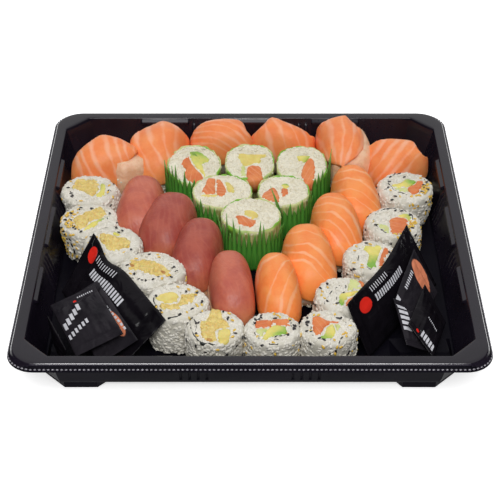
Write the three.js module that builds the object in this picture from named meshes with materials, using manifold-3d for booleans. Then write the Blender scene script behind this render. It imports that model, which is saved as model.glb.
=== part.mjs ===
// A square takeaway tray of black formed plastic, filled with sushi: six maki in a V of
// grass-shaped dividers, twelve uramaki along the two front arms, fourteen nigiri between
// them and along the back, and two small heaps of sauce sachets in the front corners.
// Millimetres, +Z up, front towards -Y, origin under the middle of the tray's feet.

import * as THREE from 'three';
import { mergeVertices } from 'three/addons/utils/BufferGeometryUtils.js';
import Module from 'manifold-3d';

const wasm = await Module();
wasm.setup();

// ---- Driving dimensions ----
const TRAY_HALF = 150; // outer half width, at the bottom of the lip
const TRAY_HEIGHT = 35; // top of the flange above the feet
const FILM = 0.9; // thickness of the formed plastic
const LIP_FLARE = 2.5;
const LIP_DROP = 5;
const FLANGE_INNER = 139.5; // half width of the opening
const FOOT_HALF = 130.5; // outer half width at the feet
const FOOT_HEIGHT = 5.5; // underside of the base above the feet
const FOOT_INNER = 96.4; // where the feet end towards the middle
const BASE_CUT = 13.2; // length of the cut corners at the base
const MOUTH_CUT = 14.5; // and at the opening
const RIM_ROUND = 18; // outer corner radius
const LUGS = [[-84, -47], [-23, 23], [47, 84]]; // sloped lugs that stand out of every wall
const LUG_TOP = 1.2; // below the top of the flange
const LUG_HEIGHT = 4;
const LUG_DEPTH = 2;
const CORNER_STEPS = 5;
const FLUTE_GROUPS = [-35, 35]; // flutes stand in fours on every wall
const FLUTE_OFFSETS = [-8.2, -2.7, 2.7, 8.2];
const FLUTE_WIDTH = 3.2;
const FLUTE_DEPTH = 1.3;

const GAP = 0.3; // clearance between neighbouring pieces
const SEED_ROOM = 1; // and how much more a roll needs for the seeds on it
const FOOD_FLOOR = FOOT_HEIGHT + FILM + GAP; // the food stands here

// Rolls, by the middle of their top face, the height of that face and their radius.
// lean is how far the top stands out over the bottom.
const MAKI = [
  { at: [-41.1, 74.9], top: 36, radius: 19.3, seed: 3 },
  { at: [-0.2, 78.3], top: 36, radius: 17.8, seed: 5 },
  { at: [38, 74.9], top: 36, radius: 18.3, seed: 8 },
  { at: [-19.8, 40.1], top: 34, radius: 20.2, seed: 13 },
  { at: [23.9, 40.3], top: 35, radius: 18.6, seed: 21 },
  { at: [0.6, 4.2], top: 39, radius: 20.6, seed: 34 },
];
const URAMAKI_LEFT = [
  { at: [-116.1, 44.1], top: 33, radius: 20.5, lean: [-7.5, 0], seed: 11 },
  { at: [-112.1, 7.3], top: 33, radius: 21, lean: [-4, 0], seed: 12 },
  { at: [-93.4, -24], top: 36, radius: 20.7, lean: [0, 0], seed: 23 },
  { at: [-66, -52.6], top: 36, radius: 20.3, lean: [0, 0], seed: 14 },
  { at: [-48, -87.4], top: 36, radius: 20, lean: [0, 0], seed: 25 },
  { at: [-21.9, -113.6], top: 36, radius: 18.8, lean: [0, -4.5], seed: 16 },
];
const URAMAKI_RIGHT = [
  { at: [111.9, 46.6], top: 34, radius: 20.5, lean: [3.5, 0], seed: 31 },
  { at: [99.1, 2.4], top: 34, radius: 19.8, lean: [0, 0], seed: 42 },
  { at: [81.8, -37], top: 34, radius: 19.3, lean: [0, 0], seed: 33 },
  { at: [60.2, -77], top: 34, radius: 18.6, lean: [0, 0], seed: 44 },
  { at: [48.9, -111.9], top: 35, radius: 18.6, lean: [0, -3], seed: 35 },
  { at: [14, -115.1], top: 36, radius: 18, lean: [0, -4.5], seed: 46 },
];

// Nigiri, by their middle, heading in degrees (0 lies along Y, positive turns the far end
// to the right), length, width of the fish and height of its top.
const TUNA = [
  { at: [-77.5, 26], heading: 5, length: 61, width: 34, top: 44.5 },
  { at: [-57.5, 5.5], heading: 13, length: 60, width: 37, top: 44.5 },
  { at: [-36, -26.5], heading: 9, length: 61, width: 33, top: 44.5 },
  { at: [-12, -62.5], heading: -6, length: 59, width: 29.4, top: 44 },
];
const SALMON = [
  { at: [76, 40], heading: -8, length: 60, width: 33, top: 44.5 },
  { at: [60.5, 4.5], heading: -8, length: 60, width: 33, top: 44.5 },
  { at: [40, -33], heading: -7, length: 61, width: 35, top: 44 },
  { at: [18.5, -65], heading: -6, length: 59, width: 29, top: 44 },
];
const BACK_ROW = [
  { at: [-105, 86], heading: 80, length: 55, width: 35, top: 46 },
  { at: [-68, 101], heading: 18, length: 62, width: 38, top: 47 },
  { at: [-21, 114.5], heading: 84, length: 50, width: 31.5, top: 47 },
  { at: [25, 114.5], heading: -78, length: 50, width: 30, top: 47 },
  { at: [69.5, 101.5], heading: -6, length: 60, width: 38, top: 48 },
  { at: [110, 88], heading: 62, length: 47, width: 33, top: 43 },
];

// Dividers wrap part of a maki: from and to are degrees counterclockwise from +X.
const DIVIDERS = [
  { round: 0, from: 175, to: 285, tall: [30, 38], seed: 2 },
  { round: 3, from: 172, to: 262, tall: [26, 33], seed: 4 },
  { round: 5, from: 172, to: 362, tall: [29, 38], seed: 6 },
  { round: 4, from: 262, to: 352, tall: [28, 38], seed: 7 },
  { round: 2, from: 290, to: 378, tall: [30, 43], seed: 9 },
];
const DIVIDER_THICK = 0.5;
const DIVIDER_BAND = 13; // height of the uncut band below the blades
const BLADE_PITCH = 6.2;

// Sachets, by their four corners in order round the edge, and half their fill.
const SACHETS_LEFT = [
  { corners: [[-105, -26, 45], [-53, -107, 36], [-84, -127, 9.5], [-127, -45, 9.5]], fill: 3.6 },
  { corners: [[-99, -64, 38], [-70, -118, 29], [-95, -122, 12], [-124, -70, 20]], fill: 2.4 },
  { corners: [[-98.5, -76, 43], [-79, -118, 34], [-110, -118, 15], [-130, -79, 25]], fill: 2.6 },
  { corners: [[-130, -92, 27], [-115, -124, 26], [-117, -122, 8.5], [-128, -92, 8.5]], fill: 1.4 },
];
const SACHETS_RIGHT = [
  { corners: [[105.5, -18, 47], [61.5, -96, 40], [75.5, -113, 9.5], [126.5, -38, 10]], fill: 3.6 },
  { corners: [[109, -40, 42], [93.5, -80.5, 31], [108.5, -94, 13], [125, -57, 18]], fill: 2.4 },
  { corners: [[92, -85, 36], [99, -112, 20], [115, -110, 12], [111, -82, 24]], fill: 2 },
  { corners: [[114, -68, 34], [100.5, -103, 29], [116, -118, 14], [127.5, -84, 15]], fill: 2.2 },
];
const SEAM = 0.14; // share of a sachet's length taken by each flat crimped end
const SEAM_HALF = 0.35; // half thickness of the flat seams

// ---- Meshes, solids and chance ----
function chance(seed) {
  let state = seed * 7919 + 17;
  return () => {
    state = (state * 16807) % 2147483647;
    return state / 2147483647;
  };
}

// Joins rings of equal length by bands and closes both ends on their middles.
function loft(rings) {
  const count = rings[0].length;
  const points = rings.flat();
  const faces = [];
  for (let r = 0; r + 1 < rings.length; r++) {
    for (let i = 0; i < count; i++) {
      const a = r * count + i;
      const b = r * count + ((i + 1) % count);
      faces.push(a, b, b + count, a, b + count, a + count);
    }
  }
  for (const last of [false, true]) {
    const start = last ? (rings.length - 1) * count : 0;
    const ring = last ? rings.at(-1) : rings[0];
    const middle = points.length;
    points.push([0, 1, 2].map((k) => ring.reduce((sum, p) => sum + p[k], 0) / count));
    for (let i = 0; i < count; i++) {
      const a = start + i;
      const b = start + ((i + 1) % count);
      faces.push(...(last ? [a, b, middle] : [b, a, middle]));
    }
  }
  const geometry = new THREE.BufferGeometry();
  geometry.setAttribute('position', new THREE.Float32BufferAttribute(points.flat(), 3));
  geometry.setIndex(faces);
  return geometry;
}

function solidOf(geometry) {
  const bare = geometry.clone();
  bare.deleteAttribute('normal');
  bare.deleteAttribute('uv');
  const merged = mergeVertices(bare, 1e-4);
  const mesh = new wasm.Mesh({
    numProp: 3,
    vertProperties: new Float32Array(merged.attributes.position.array),
    triVerts: new Uint32Array(merged.index.array),
  });
  return new wasm.Manifold(mesh);
}

function geometryOf(solid) {
  const mesh = solid.getMesh();
  const geometry = new THREE.BufferGeometry();
  geometry.setAttribute('position', new THREE.Float32BufferAttribute(mesh.vertProperties, 3));
  geometry.setIndex(Array.from(mesh.triVerts));
  geometry.computeVertexNormals();
  return geometry;
}

// Cuts the room that neighbours need out of a piece and keeps what is left of its body.
function yieldTo(solid, neighbours) {
  let left = solid;
  for (const neighbour of neighbours) {
    if (!left.intersect(neighbour).isEmpty()) left = left.subtract(neighbour);
  }
  const bodies = left.decompose();
  return bodies.reduce((best, body) => (body.volume() > best.volume() ? body : best));
}

const turned = ([x, y], degrees) => {
  const a = THREE.MathUtils.degToRad(degrees);
  return [x * Math.cos(a) + y * Math.sin(a), y * Math.cos(a) - x * Math.sin(a)];
};

// ---- The tray ----
const wallHalf = (z) => FOOT_HALF + ((FLANGE_INNER - FOOT_HALF) * z) / (TRAY_HEIGHT - FILM);

// A level outline: a square with its corners cut, or rounded where round is 1.
function squareRing(half, cut, round, z) {
  const ring = [];
  for (let quarter = 0; quarter < 4; quarter++) {
    for (let i = 0; i <= CORNER_STEPS; i++) {
      const s = i / CORNER_STEPS;
      const angle = (s * Math.PI) / 2;
      const straight = [half - cut * s, half - cut * (1 - s)];
      const arc = [half - cut * (1 - Math.cos(angle)), half - cut * (1 - Math.sin(angle))];
      const corner = straight.map((value, k) => value * (1 - round) + arc[k] * round);
      ring.push([...turned(corner, -90 * quarter), z]);
    }
  }
  return ring;
}

function trayShell() {
  const top = TRAY_HEIGHT;
  const floor = FOOT_HEIGHT + FILM;
  const outside = [
    squareRing(wallHalf(FOOT_HEIGHT) - 1.6, BASE_CUT, 0, FOOT_HEIGHT),
    squareRing(wallHalf(FOOT_HEIGHT + 1.6), BASE_CUT, 0, FOOT_HEIGHT + 1.6),
    squareRing(FLANGE_INNER, MOUTH_CUT, 0.1, top - FILM),
    squareRing(TRAY_HALF - LIP_FLARE - FILM, RIM_ROUND - 1, 1, top - FILM),
    squareRing(TRAY_HALF - FILM, RIM_ROUND, 1, top - LIP_DROP),
  ];
  const inside = [
    squareRing(TRAY_HALF, RIM_ROUND, 1, top - LIP_DROP),
    squareRing(TRAY_HALF - LIP_FLARE + 0.3, RIM_ROUND, 1, top - 0.6),
    squareRing(TRAY_HALF - LIP_FLARE - 0.7, RIM_ROUND, 1, top),
    squareRing(FLANGE_INNER + 0.3, MOUTH_CUT, 0.2, top),
    squareRing(FLANGE_INNER - 0.6, MOUTH_CUT, 0.1, top - 0.7),
    squareRing(wallHalf(floor + 1.2) - FILM, BASE_CUT, 0, floor + 1.2),
    squareRing(wallHalf(floor) - FILM - 1.4, BASE_CUT, 0, floor),
  ];
  return solidOf(loft([...outside, ...inside]));
}

// One corner foot: a shallow block with a cut outer corner, wider where it meets the base.
function footBlock(quarter, inset, bottom, top) {
  const level = (z) => {
    const ramp = (6.4 * z) / FOOT_HEIGHT;
    const near = FOOT_INNER - ramp + inset;
    const far = wallHalf(Math.max(z, 0)) - 0.3 - inset;
    const cut = far - BASE_CUT;
    const plan = [[near, near], [far, near], [far, cut], [cut, far], [near, far]];
    return plan.map((corner) => [...turned(corner, -90 * quarter), z]);
  };
  return solidOf(loft([level(bottom), level(top)]));
}

// One flute: a ridge of triangular section that leans with the wall.
function fluteBar(side, along, face, depth) {
  const low = FOOT_HEIGHT + 3.5;
  const high = TRAY_HEIGHT - 4;
  const level = (z) => {
    const wall = wallHalf(z) + face;
    const half = FLUTE_WIDTH / 2;
    const plan = [[along - half, -wall], [along + half, -wall], [along, -wall + depth]];
    return plan.map((corner) => [...turned(corner, 90 * side), z]);
  };
  return solidOf(loft([level(low), level(high)]));
}

// One lug: a wedge along the wall whose upper face slopes down towards the middle.
function lugBar(side, [from, to], face, depth) {
  const high = TRAY_HEIGHT - LUG_TOP;
  const low = high - LUG_HEIGHT;
  const section = [
    [wallHalf(high) + face, high],
    [wallHalf(low + 1) + face - depth, low + 1],
    [wallHalf(low) + face, low],
  ];
  const end = (along, inset) => section.map(([half, z]) => {
    const x = along + (z === low + 1 ? inset : 0);
    return [...turned([x, -half], 90 * side), z];
  });
  return solidOf(loft([end(to, -0.8), end(from, 0.8)]));
}

function traySolid() {
  let tray = trayShell();
  for (let quarter = 0; quarter < 4; quarter++) {
    tray = tray.add(footBlock(quarter, 0, 0, FOOT_HEIGHT + 0.3));
    tray = tray.subtract(footBlock(quarter, FILM, FILM, FOOT_HEIGHT + FILM + 0.2));
  }
  for (let side = 0; side < 4; side++) {
    for (const group of FLUTE_GROUPS) {
      for (const offset of FLUTE_OFFSETS) {
        const along = group + offset;
        tray = tray.add(fluteBar(side, along, -FILM / 2, FILM / 2 + FLUTE_DEPTH));
        tray = tray.subtract(fluteBar(side, along, 0.5, 0.5 + FLUTE_DEPTH));
      }
    }
    for (const lug of LUGS) {
      tray = tray.add(lugBar(side, lug, -FILM / 2, FILM / 2 + LUG_DEPTH));
    }
  }
  return tray;
}

// ---- Rolls ----
const ALL_ROLLS = [...MAKI, ...URAMAKI_LEFT, ...URAMAKI_RIGHT];

const rollMiddle = (roll, share) => {
  const [leanX, leanY] = roll.lean ?? [0, 0];
  return [roll.at[0] + leanX * (share - 1), roll.at[1] + leanY * (share - 1)];
};

// The radius of a roll in one direction, flattened where a neighbour presses on it.
function rollReach(roll, share, angle, radius) {
  const [x, y] = rollMiddle(roll, share);
  let reach = radius;
  for (const other of ALL_ROLLS) {
    if (other === roll) continue;
    const [ox, oy] = rollMiddle(other, share);
    const apart = Math.hypot(ox - x, oy - y);
    if (apart > roll.radius + other.radius + 4) continue;
    const facing = Math.cos(angle - Math.atan2(oy - y, ox - x));
    const room = (apart * roll.radius) / (roll.radius + other.radius) - GAP / 2;
    if (facing > 0.1) reach = Math.min(reach, room / facing);
  }
  return reach;
}

const ROLL_SIDES = 16;
const DISH_SHARE = 0.66; // width of the dished middle beside the top face
const ROLL_LEVELS = [
  { share: 0, reach: 0.95 },
  { share: 0.45, reach: 1.01 },
  { share: 0.9, reach: 0.99 },
  { share: 1, reach: 0.9 },
];

// The rice cylinder, a little uneven, with its top face dished inside the rim of rice.
function rollBody(roll, grow) {
  const random = chance(roll.seed);
  const height = roll.top - FOOD_FLOOR;
  const rings = ROLL_LEVELS.map(({ share, reach }) => {
    const [x, y] = rollMiddle(roll, share);
    const ring = [];
    for (let i = 0; i < ROLL_SIDES; i++) {
      const angle = (2 * Math.PI * i) / ROLL_SIDES;
      const rough = 1 + 0.035 * (random() - 0.6);
      const r = rollReach(roll, share, angle, roll.radius * reach * rough) + grow;
      const z = FOOD_FLOOR + share * (height - 0.8 * random()) + (share === 1 ? grow : 0);
      ring.push([x + r * Math.cos(angle), y + r * Math.sin(angle), z]);
    }
    return ring;
  });
  const [x, y] = roll.at;
  const dish = roll.top - 1 + grow;
  rings.push(rings.at(-1).map((p) => [x + (p[0] - x) * DISH_SHARE, y + (p[1] - y) * DISH_SHARE, dish]));
  return solidOf(loft(rings));
}

// One strip of filling that shows in the cut face: a low rounded block.
function fillingBlock(roll, { at, size, turn }) {
  const ring = (z) => {
    const points = [];
    for (let i = 0; i < 7; i++) {
      const angle = (2 * Math.PI * i) / 7;
      const flat = [size[0] * Math.cos(angle), size[1] * Math.sin(angle)];
      const [dx, dy] = turned(flat, turn);
      points.push([roll.at[0] + at[0] + dx, roll.at[1] + at[1] + dy, z]);
    }
    return points;
  };
  return solidOf(loft([ring(roll.top - 2.6), ring(roll.top + 0.2)]));
}

const seedShape = new THREE.IcosahedronGeometry(1, 0);

// A seed on the rim or the side, where no neighbour presses.
function sesameSeed(roll, random) {
  let angle = 2 * Math.PI * random();
  while (rollReach(roll, 1, angle, roll.radius + 2) < roll.radius + 2) angle += 0.7;
  const share = 0.35 + 0.62 * random();
  const [x, y] = rollMiddle(roll, share);
  const r = rollReach(roll, share, angle, roll.radius * (share > 0.9 ? 0.93 : 0.985));
  const seed = seedShape.clone();
  seed.scale(0.8, 1.5, 1);
  seed.rotateX(random() * Math.PI);
  seed.rotateZ(angle);
  const z = FOOD_FLOOR + share * (roll.top - FOOD_FLOOR - 0.6);
  seed.translate(x + r * Math.cos(angle), y + r * Math.sin(angle), z);
  return solidOf(seed);
}

const MAKI_FILLINGS = [
  { at: [-4.5, -2.5], size: [6.2, 4.2], turn: 35 },
  { at: [3.5, 4], size: [6, 3.4], turn: 25 },
];
const LEFT_FILLINGS = [{ at: [0, 1], size: [11, 6], turn: 6 }];
const RIGHT_FILLINGS = [
  { at: [-3.2, 1.2], size: [5.2, 4.6], turn: 0 },
  { at: [5, 0], size: [4.4, 5.2], turn: 20 },
];

function rollSolid(roll, fillings, seeds) {
  const random = chance(roll.seed + 100);
  let solid = rollBody(roll, 0);
  for (const filling of fillings) solid = solid.add(fillingBlock(roll, filling));
  for (let i = 0; i < seeds; i++) solid = solid.add(sesameSeed(roll, random));
  return solid;
}

// ---- Nigiri ----
const NIGIRI_STATIONS = [-0.985, -0.84, -0.45, 0.05, 0.5, 0.85, 0.985];
const RICE_SHARE = 0.84; // rice width beside the width of the fish

// Half a section from the bottom to the crown: share of the half width, share of the height.
const NIGIRI_SECTION = [
  [RICE_SHARE * 0.82, 0],
  [RICE_SHARE, 0.13],
  [RICE_SHARE, 0.33],
  [1, 0.31],
  [0.94, 0.62],
  [0.6, 0.89],
];

function nigiriBody(piece, grow) {
  const height = piece.top - FOOD_FLOOR;
  const rings = NIGIRI_STATIONS.map((t) => {
    const along = (t * piece.length) / 2 + Math.sign(t) * grow;
    const half = (piece.width / 2) * Math.pow(1 - Math.pow(Math.abs(t), 3.2), 0.42) + grow;
    const crown = height * (t > 0 ? 1 - 0.14 * Math.pow(t, 4) : 1 - 0.4 * t * t);
    const closing = Math.sqrt(1 - Math.pow(Math.abs(t), 9));
    const middle = 0.42 * crown;
    const side = NIGIRI_SECTION.map(([across, up]) => [across * half, up * crown]);
    const flipped = [...side].reverse().map(([across, up]) => [-across, up]);
    return [...side, [0, crown], ...flipped].map(([across, up]) => {
      const level = middle + (up - middle) * closing + (up > middle ? grow : -grow);
      const z = FOOD_FLOOR + Math.max(level, -grow);
      const [x, y] = turned([across, along], piece.heading);
      return [piece.at[0] + x, piece.at[1] + y, z];
    });
  });
  return solidOf(loft(rings.map((ring) => ring.reverse())));
}

// ---- Dividers ----
// A thin upright strip round a maki, its upper edge cut into pointed blades.
function dividerSolid({ round, from, to, tall, seed }, grow) {
  const maki = MAKI[round];
  const random = chance(seed);
  const radius = maki.radius + 1.1;
  const arc = THREE.MathUtils.degToRad(to - from);
  const blades = Math.round((arc * radius) / BLADE_PITCH);
  const half = DIVIDER_THICK / 2 + grow;
  const columns = [];
  for (let i = 0; i <= 2 * blades; i++) {
    const angle = THREE.MathUtils.degToRad(from) + (arc * i) / (2 * blades);
    const tip = i % 2 === 1;
    const high = tip ? tall[0] + (tall[1] - tall[0]) * random() : FOOD_FLOOR + DIVIDER_BAND;
    const wave = 0.35 * Math.sin(1.9 * i);
    const low = FOOD_FLOOR;
    const section = [[half, low], [-half, low], [-half, high + grow], [half, high + grow]];
    columns.push(section.map(([r, z]) => {
      const reach = radius + r + wave + (tip && z > low ? 0.5 : 0);
      return [maki.at[0] + reach * Math.cos(angle), maki.at[1] + reach * Math.sin(angle), z];
    }));
  }
  return solidOf(loft(columns));
}

// ---- Sachets ----
// A filled film packet between four corners: flat seams all round and a pillow inside.
function sachetSolid({ corners, fill }, grow) {
  const [a, b, c, d] = corners.map((corner) => new THREE.Vector3(...corner));
  const normal = b.clone().sub(d).cross(c.clone().sub(a)).normalize();
  const alongSteps = [0, SEAM, 0.34, 0.66, 1 - SEAM, 1];
  const acrossSteps = [0, 0.12, 0.5, 0.88, 1];
  const surface = (side) => alongSteps.map((s) => acrossSteps.map((t) => {
    const inner = THREE.MathUtils.clamp((s - SEAM) / (1 - 2 * SEAM), 0, 1);
    const pillow = 4 * Math.sqrt(inner * (1 - inner)) * Math.sqrt(t * (1 - t)) * fill;
    const point = a.clone().lerp(b, s).lerp(d.clone().lerp(c, s), t);
    return point.addScaledVector(normal, side * (SEAM_HALF + grow + pillow)).toArray();
  }));
  // The packet is a loft along its length: each ring goes out under it and back over the front.
  const front = surface(1);
  const back = surface(-1);
  return solidOf(loft(front.map((row, i) => [...back[i], ...[...row].reverse()])));
}

// ---- The whole platter ----
const LOOKS = {
  tray: { color: 0x1b1a1f, roughness: 0.28, metalness: 0 },
  maki: { color: 0xdcd8c8, roughness: 0.6, metalness: 0 },
  uramaki: { color: 0xd8d4cc, roughness: 0.6, metalness: 0 },
  tuna: { color: 0xb45a4e, roughness: 0.4, metalness: 0 },
  salmon: { color: 0xf08a50, roughness: 0.4, metalness: 0 },
  divider: { color: 0x3c8232, roughness: 0.5, metalness: 0 },
  sachet: { color: 0x141418, roughness: 0.3, metalness: 0 },
};

const platter = new THREE.Group();

function serve(name, look, solid) {
  const mesh = new THREE.Mesh(geometryOf(solid), new THREE.MeshStandardMaterial(LOOKS[look]));
  mesh.name = name;
  platter.add(mesh);
}

serve('tray', 'tray', traySolid());

MAKI.forEach((roll, i) => serve(`maki_${i + 1}`, 'maki', rollSolid(roll, MAKI_FILLINGS, 0)));
URAMAKI_LEFT.forEach((roll, i) => {
  serve(`uramaki_left_${i + 1}`, 'uramaki', rollSolid(roll, LEFT_FILLINGS, 4));
});
URAMAKI_RIGHT.forEach((roll, i) => {
  serve(`uramaki_right_${i + 1}`, 'uramaki', rollSolid(roll, RIGHT_FILLINGS, 4));
});

const rollRoom = ALL_ROLLS.map((roll) => rollBody(roll, SEED_ROOM + GAP));
const dividerRoom = DIVIDERS.map((divider) => dividerSolid(divider, GAP));

DIVIDERS.forEach((divider, i) => serve(`divider_${i + 1}`, 'divider', dividerSolid(divider, 0)));

// In each row a piece further on makes room for the next one, which lies against it.
function serveNigiri(name, look, row) {
  row.forEach((piece, i) => {
    const next = row[i + 1] ? [nigiriBody(row[i + 1], GAP)] : [];
    const solid = yieldTo(nigiriBody(piece, 0), [...rollRoom, ...dividerRoom, ...next]);
    serve(`${name}_${i + 1}`, look, solid);
  });
}

serveNigiri('nigiri_tuna', 'tuna', TUNA);
serveNigiri('nigiri_salmon', 'salmon', SALMON);
serveNigiri('nigiri_back', 'salmon', BACK_ROW);

// Each sachet rests on the rolls and on the sachets under it.
function serveSachets(name, heap) {
  heap.forEach((sachet, i) => {
    const under = heap.slice(0, i).map((lower) => sachetSolid(lower, GAP));
    serve(`${name}_${i + 1}`, 'sachet', yieldTo(sachetSolid(sachet, 0), [...rollRoom, ...under]));
  });
}

serveSachets('sachet_left', SACHETS_LEFT);
serveSachets('sachet_right', SACHETS_RIGHT);

export default platter;
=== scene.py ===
import random
from math import atan2, cos, exp, floor, hypot, pi, radians, sin, sqrt

import bmesh
import bpy
import numpy as np
from mathutils import Matrix, Vector, noise
from mathutils.geometry import delaunay_2d_cdt


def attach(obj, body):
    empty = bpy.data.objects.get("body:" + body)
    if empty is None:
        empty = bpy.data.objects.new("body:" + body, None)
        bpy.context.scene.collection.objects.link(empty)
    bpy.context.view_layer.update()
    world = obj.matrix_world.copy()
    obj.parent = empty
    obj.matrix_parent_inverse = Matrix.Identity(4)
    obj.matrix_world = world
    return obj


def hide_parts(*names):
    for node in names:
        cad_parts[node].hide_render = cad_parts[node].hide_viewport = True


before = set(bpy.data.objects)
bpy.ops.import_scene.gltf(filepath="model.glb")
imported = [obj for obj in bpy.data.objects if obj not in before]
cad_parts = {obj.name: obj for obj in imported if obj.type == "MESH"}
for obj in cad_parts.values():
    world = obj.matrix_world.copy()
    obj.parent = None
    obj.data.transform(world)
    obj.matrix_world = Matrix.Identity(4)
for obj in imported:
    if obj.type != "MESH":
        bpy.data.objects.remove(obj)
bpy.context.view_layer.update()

# Lengths are millimetres until a mesh is finished.
mm = 0.001
foodFloor = 6.7
random.seed(7)


def lerp(a, b, t):
    return a + (b - a) * t


def clamp(x, low=0.0, high=1.0):
    return max(low, min(high, x))


def ramp(low, high, x):
    return clamp((x - low) / (high - low))


def smoothStep(low, high, x):
    t = ramp(low, high, x)
    return t * t * (3 - 2 * t)


# The sign of a value with a power of its size.
def softPower(value, power):
    return (1 if value > 0 else -1) * abs(value) ** power


def turned(x, y, degrees):
    a = radians(degrees)
    return x * cos(a) + y * sin(a), y * cos(a) - x * sin(a)


def rough(x, y, z, size, seed=0):
    return noise.noise(Vector((x / size + seed, y / size - 0.7 * seed, z / size + 0.3 * seed)))


# The small shape or whole mesh that a bmesh holds, shaded smooth.
def meshFrom(name, bm):
    for face in bm.faces:
        face.smooth = True
    mesh = bpy.data.meshes.new(name)
    bm.to_mesh(mesh)
    bm.free()
    return mesh


def uvLayerOf(bm):
    return bm.loops.layers.uv.get("UVMap") or bm.loops.layers.uv.new("UVMap")


# A grid bent into shape: place gives a point, and mapAt its own map, for shares across and along.
def mapped(bm, columns, rows, place, mapAt=None, tag=0):
    uvLayer = uvLayerOf(bm)
    made = bmesh.ops.create_grid(bm, x_segments=columns, y_segments=rows, size=0.5)["verts"]
    bm.verts.index_update()
    first = made[0].index
    shares = [(vert.co.x + 0.5, vert.co.y + 0.5) for vert in made]
    for face in {face for vert in made for face in vert.link_faces}:
        face.material_index = tag
        for loop in face.loops:
            u, v = shares[loop.vert.index - first]
            loop[uvLayer].uv = mapAt(u, v) if mapAt else (u, v)
    for vert, (u, v) in zip(made, shares):
        vert.co = place(u, v)
    bmesh.ops.remove_doubles(bm, verts=made, dist=0.002)


def openEdges(bm):
    return [edge for edge in bm.edges if edge.is_boundary]


def addPiece(name, mesh, nodes, materials, slotName):
    piece = bpy.data.objects.new(name, mesh)
    bpy.context.scene.collection.objects.link(piece)
    for material in materials:
        mesh.materials.append(material)
    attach(piece, "root")
    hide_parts(*nodes)
    return piece


def finishPiece(bm, name, nodes, materials, slotName, orient=True):
    if orient:
        bmesh.ops.recalc_face_normals(bm, faces=bm.faces)
    bmesh.ops.scale(bm, vec=(mm, mm, mm), verts=bm.verts)
    return addPiece(name, meshFrom(name, bm), nodes, materials, slotName)


# The items of a group are numbered from 1, in their own names and in those of their nodes.
def nameAll(group, name, node, slotName):
    for number, item in enumerate(group, 1):
        item.update(name=f"{name}{number}", node=f"{node}_{number}", slot=slotName)


# One layer of such an item.
def finishLayer(bm, item, layer, *materials):
    return finishPiece(bm, item["name"] + layer, [item["node"]], materials, item["slot"])


# Copies of one small shape, joined into a single mesh.
def joinedCopies(name, shape, places, turns, sizes, nodes, material, slotName):
    points = np.array([vert.co for vert in shape.vertices])
    corners = np.array([vert for face in shape.polygons for vert in face.vertices])
    totals = np.array([len(face.vertices) for face in shape.polygons])
    count = len(places)
    scaled = points[None, :, :] * np.array(sizes)[:, None, :]
    moved = np.einsum("nij,nkj->nki", np.array(turns), scaled) + np.array(places)[:, None, :]
    mesh = bpy.data.meshes.new(name)
    mesh.vertices.add(count * len(points))
    mesh.vertices.foreach_set("co", (moved * mm).astype(np.float32).ravel())
    offsets = np.arange(count)[:, None] * len(points)
    mesh.loops.add(count * len(corners))
    mesh.loops.foreach_set("vertex_index", (corners[None, :] + offsets).astype(np.int32).ravel())
    allTotals = np.tile(totals, count)
    mesh.polygons.add(len(allTotals))
    starts = np.concatenate(([0], np.cumsum(allTotals)[:-1]))
    mesh.polygons.foreach_set("loop_start", starts.astype(np.int32))
    mesh.polygons.foreach_set("use_smooth", np.ones(len(allTotals), bool))
    tone = mesh.attributes.new("tone", "FLOAT", "POINT")
    tones = np.repeat(np.random.default_rng(count).random(count), len(points))
    tone.data.foreach_set("value", tones.astype(np.float32))
    mesh.update(calc_edges=True)
    return addPiece(name, mesh, nodes, [material], slotName)


# A turn whose x axis lies along the surface at the given angle and whose z axis points out.
def turnOn(normal, angle):
    n = np.array(normal, float)
    n /= np.linalg.norm(n)
    side = np.cross(n, [0.31, 0.21, 0.93] if abs(n[2]) < 0.9 else [1.0, 0.1, 0.0])
    side /= np.linalg.norm(side)
    up = np.cross(n, side)
    x = cos(angle) * side + sin(angle) * up
    return np.stack([x, np.cross(n, x), n], axis=1)


# A smooth line through the given points.
def curveThrough(points, steps, closed=False):
    points = [np.array(p, float) for p in points]
    count = len(points)
    made = []
    for i in range(count if closed else count - 1):
        if closed:
            a, b, c, d = (points[(i + k) % count] for k in (-1, 0, 1, 2))
        else:
            a, b, c, d = (points[min(max(i + k, 0), count - 1)] for k in (-1, 0, 1, 2))
        for k in range(steps):
            t = k / steps
            made.append(0.5 * (2 * b + (c - a) * t + (2 * a - 5 * b + 4 * c - d) * t * t
                               + (3 * b - a - 3 * c + d) * t ** 3))
    if not closed:
        made.append(points[-1])
    return made


def edgeDistance(x, y, outline):
    best = 1e9
    for (ax, ay), (bx, by) in zip(outline, outline[1:] + outline[:1]):
        dx, dy = bx - ax, by - ay
        t = clamp(((x - ax) * dx + (y - ay) * dy) / (dx * dx + dy * dy + 1e-9))
        best = min(best, hypot(x - ax - t * dx, y - ay - t * dy))
    return best


def inside(x, y, outline):
    odd = False
    for (ax, ay), (bx, by) in zip(outline, outline[1:] + outline[:1]):
        if (ay > y) != (by > y) and x < ax + (y - ay) * (bx - ax) / (by - ay):
            odd = not odd
    return odd


# Materials: a node with its settings, and with a value or a link for each input named.
def add(tree, kind, inputs=None, **settings):
    made = tree.nodes.new(kind)
    for key, value in settings.items():
        setattr(made, key, value)
    for key, value in (inputs or {}).items():
        if isinstance(value, bpy.types.NodeSocket):
            tree.links.new(value, made.inputs[key])
        else:
            made.inputs[key].default_value = value
    return made


def maths(tree, operation, a, b=0.0):
    return add(tree, "ShaderNodeMath", {0: a, 1: b}, operation=operation).outputs[0]


def spread(tree, value, fromMin, fromMax, toMin=0.0, toMax=1.0):
    inputs = {"Value": value, "From Min": fromMin, "From Max": fromMax, "To Min": toMin, "To Max": toMax}
    return add(tree, "ShaderNodeMapRange", inputs, interpolation_type="SMOOTHSTEP").outputs["Result"]


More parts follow.
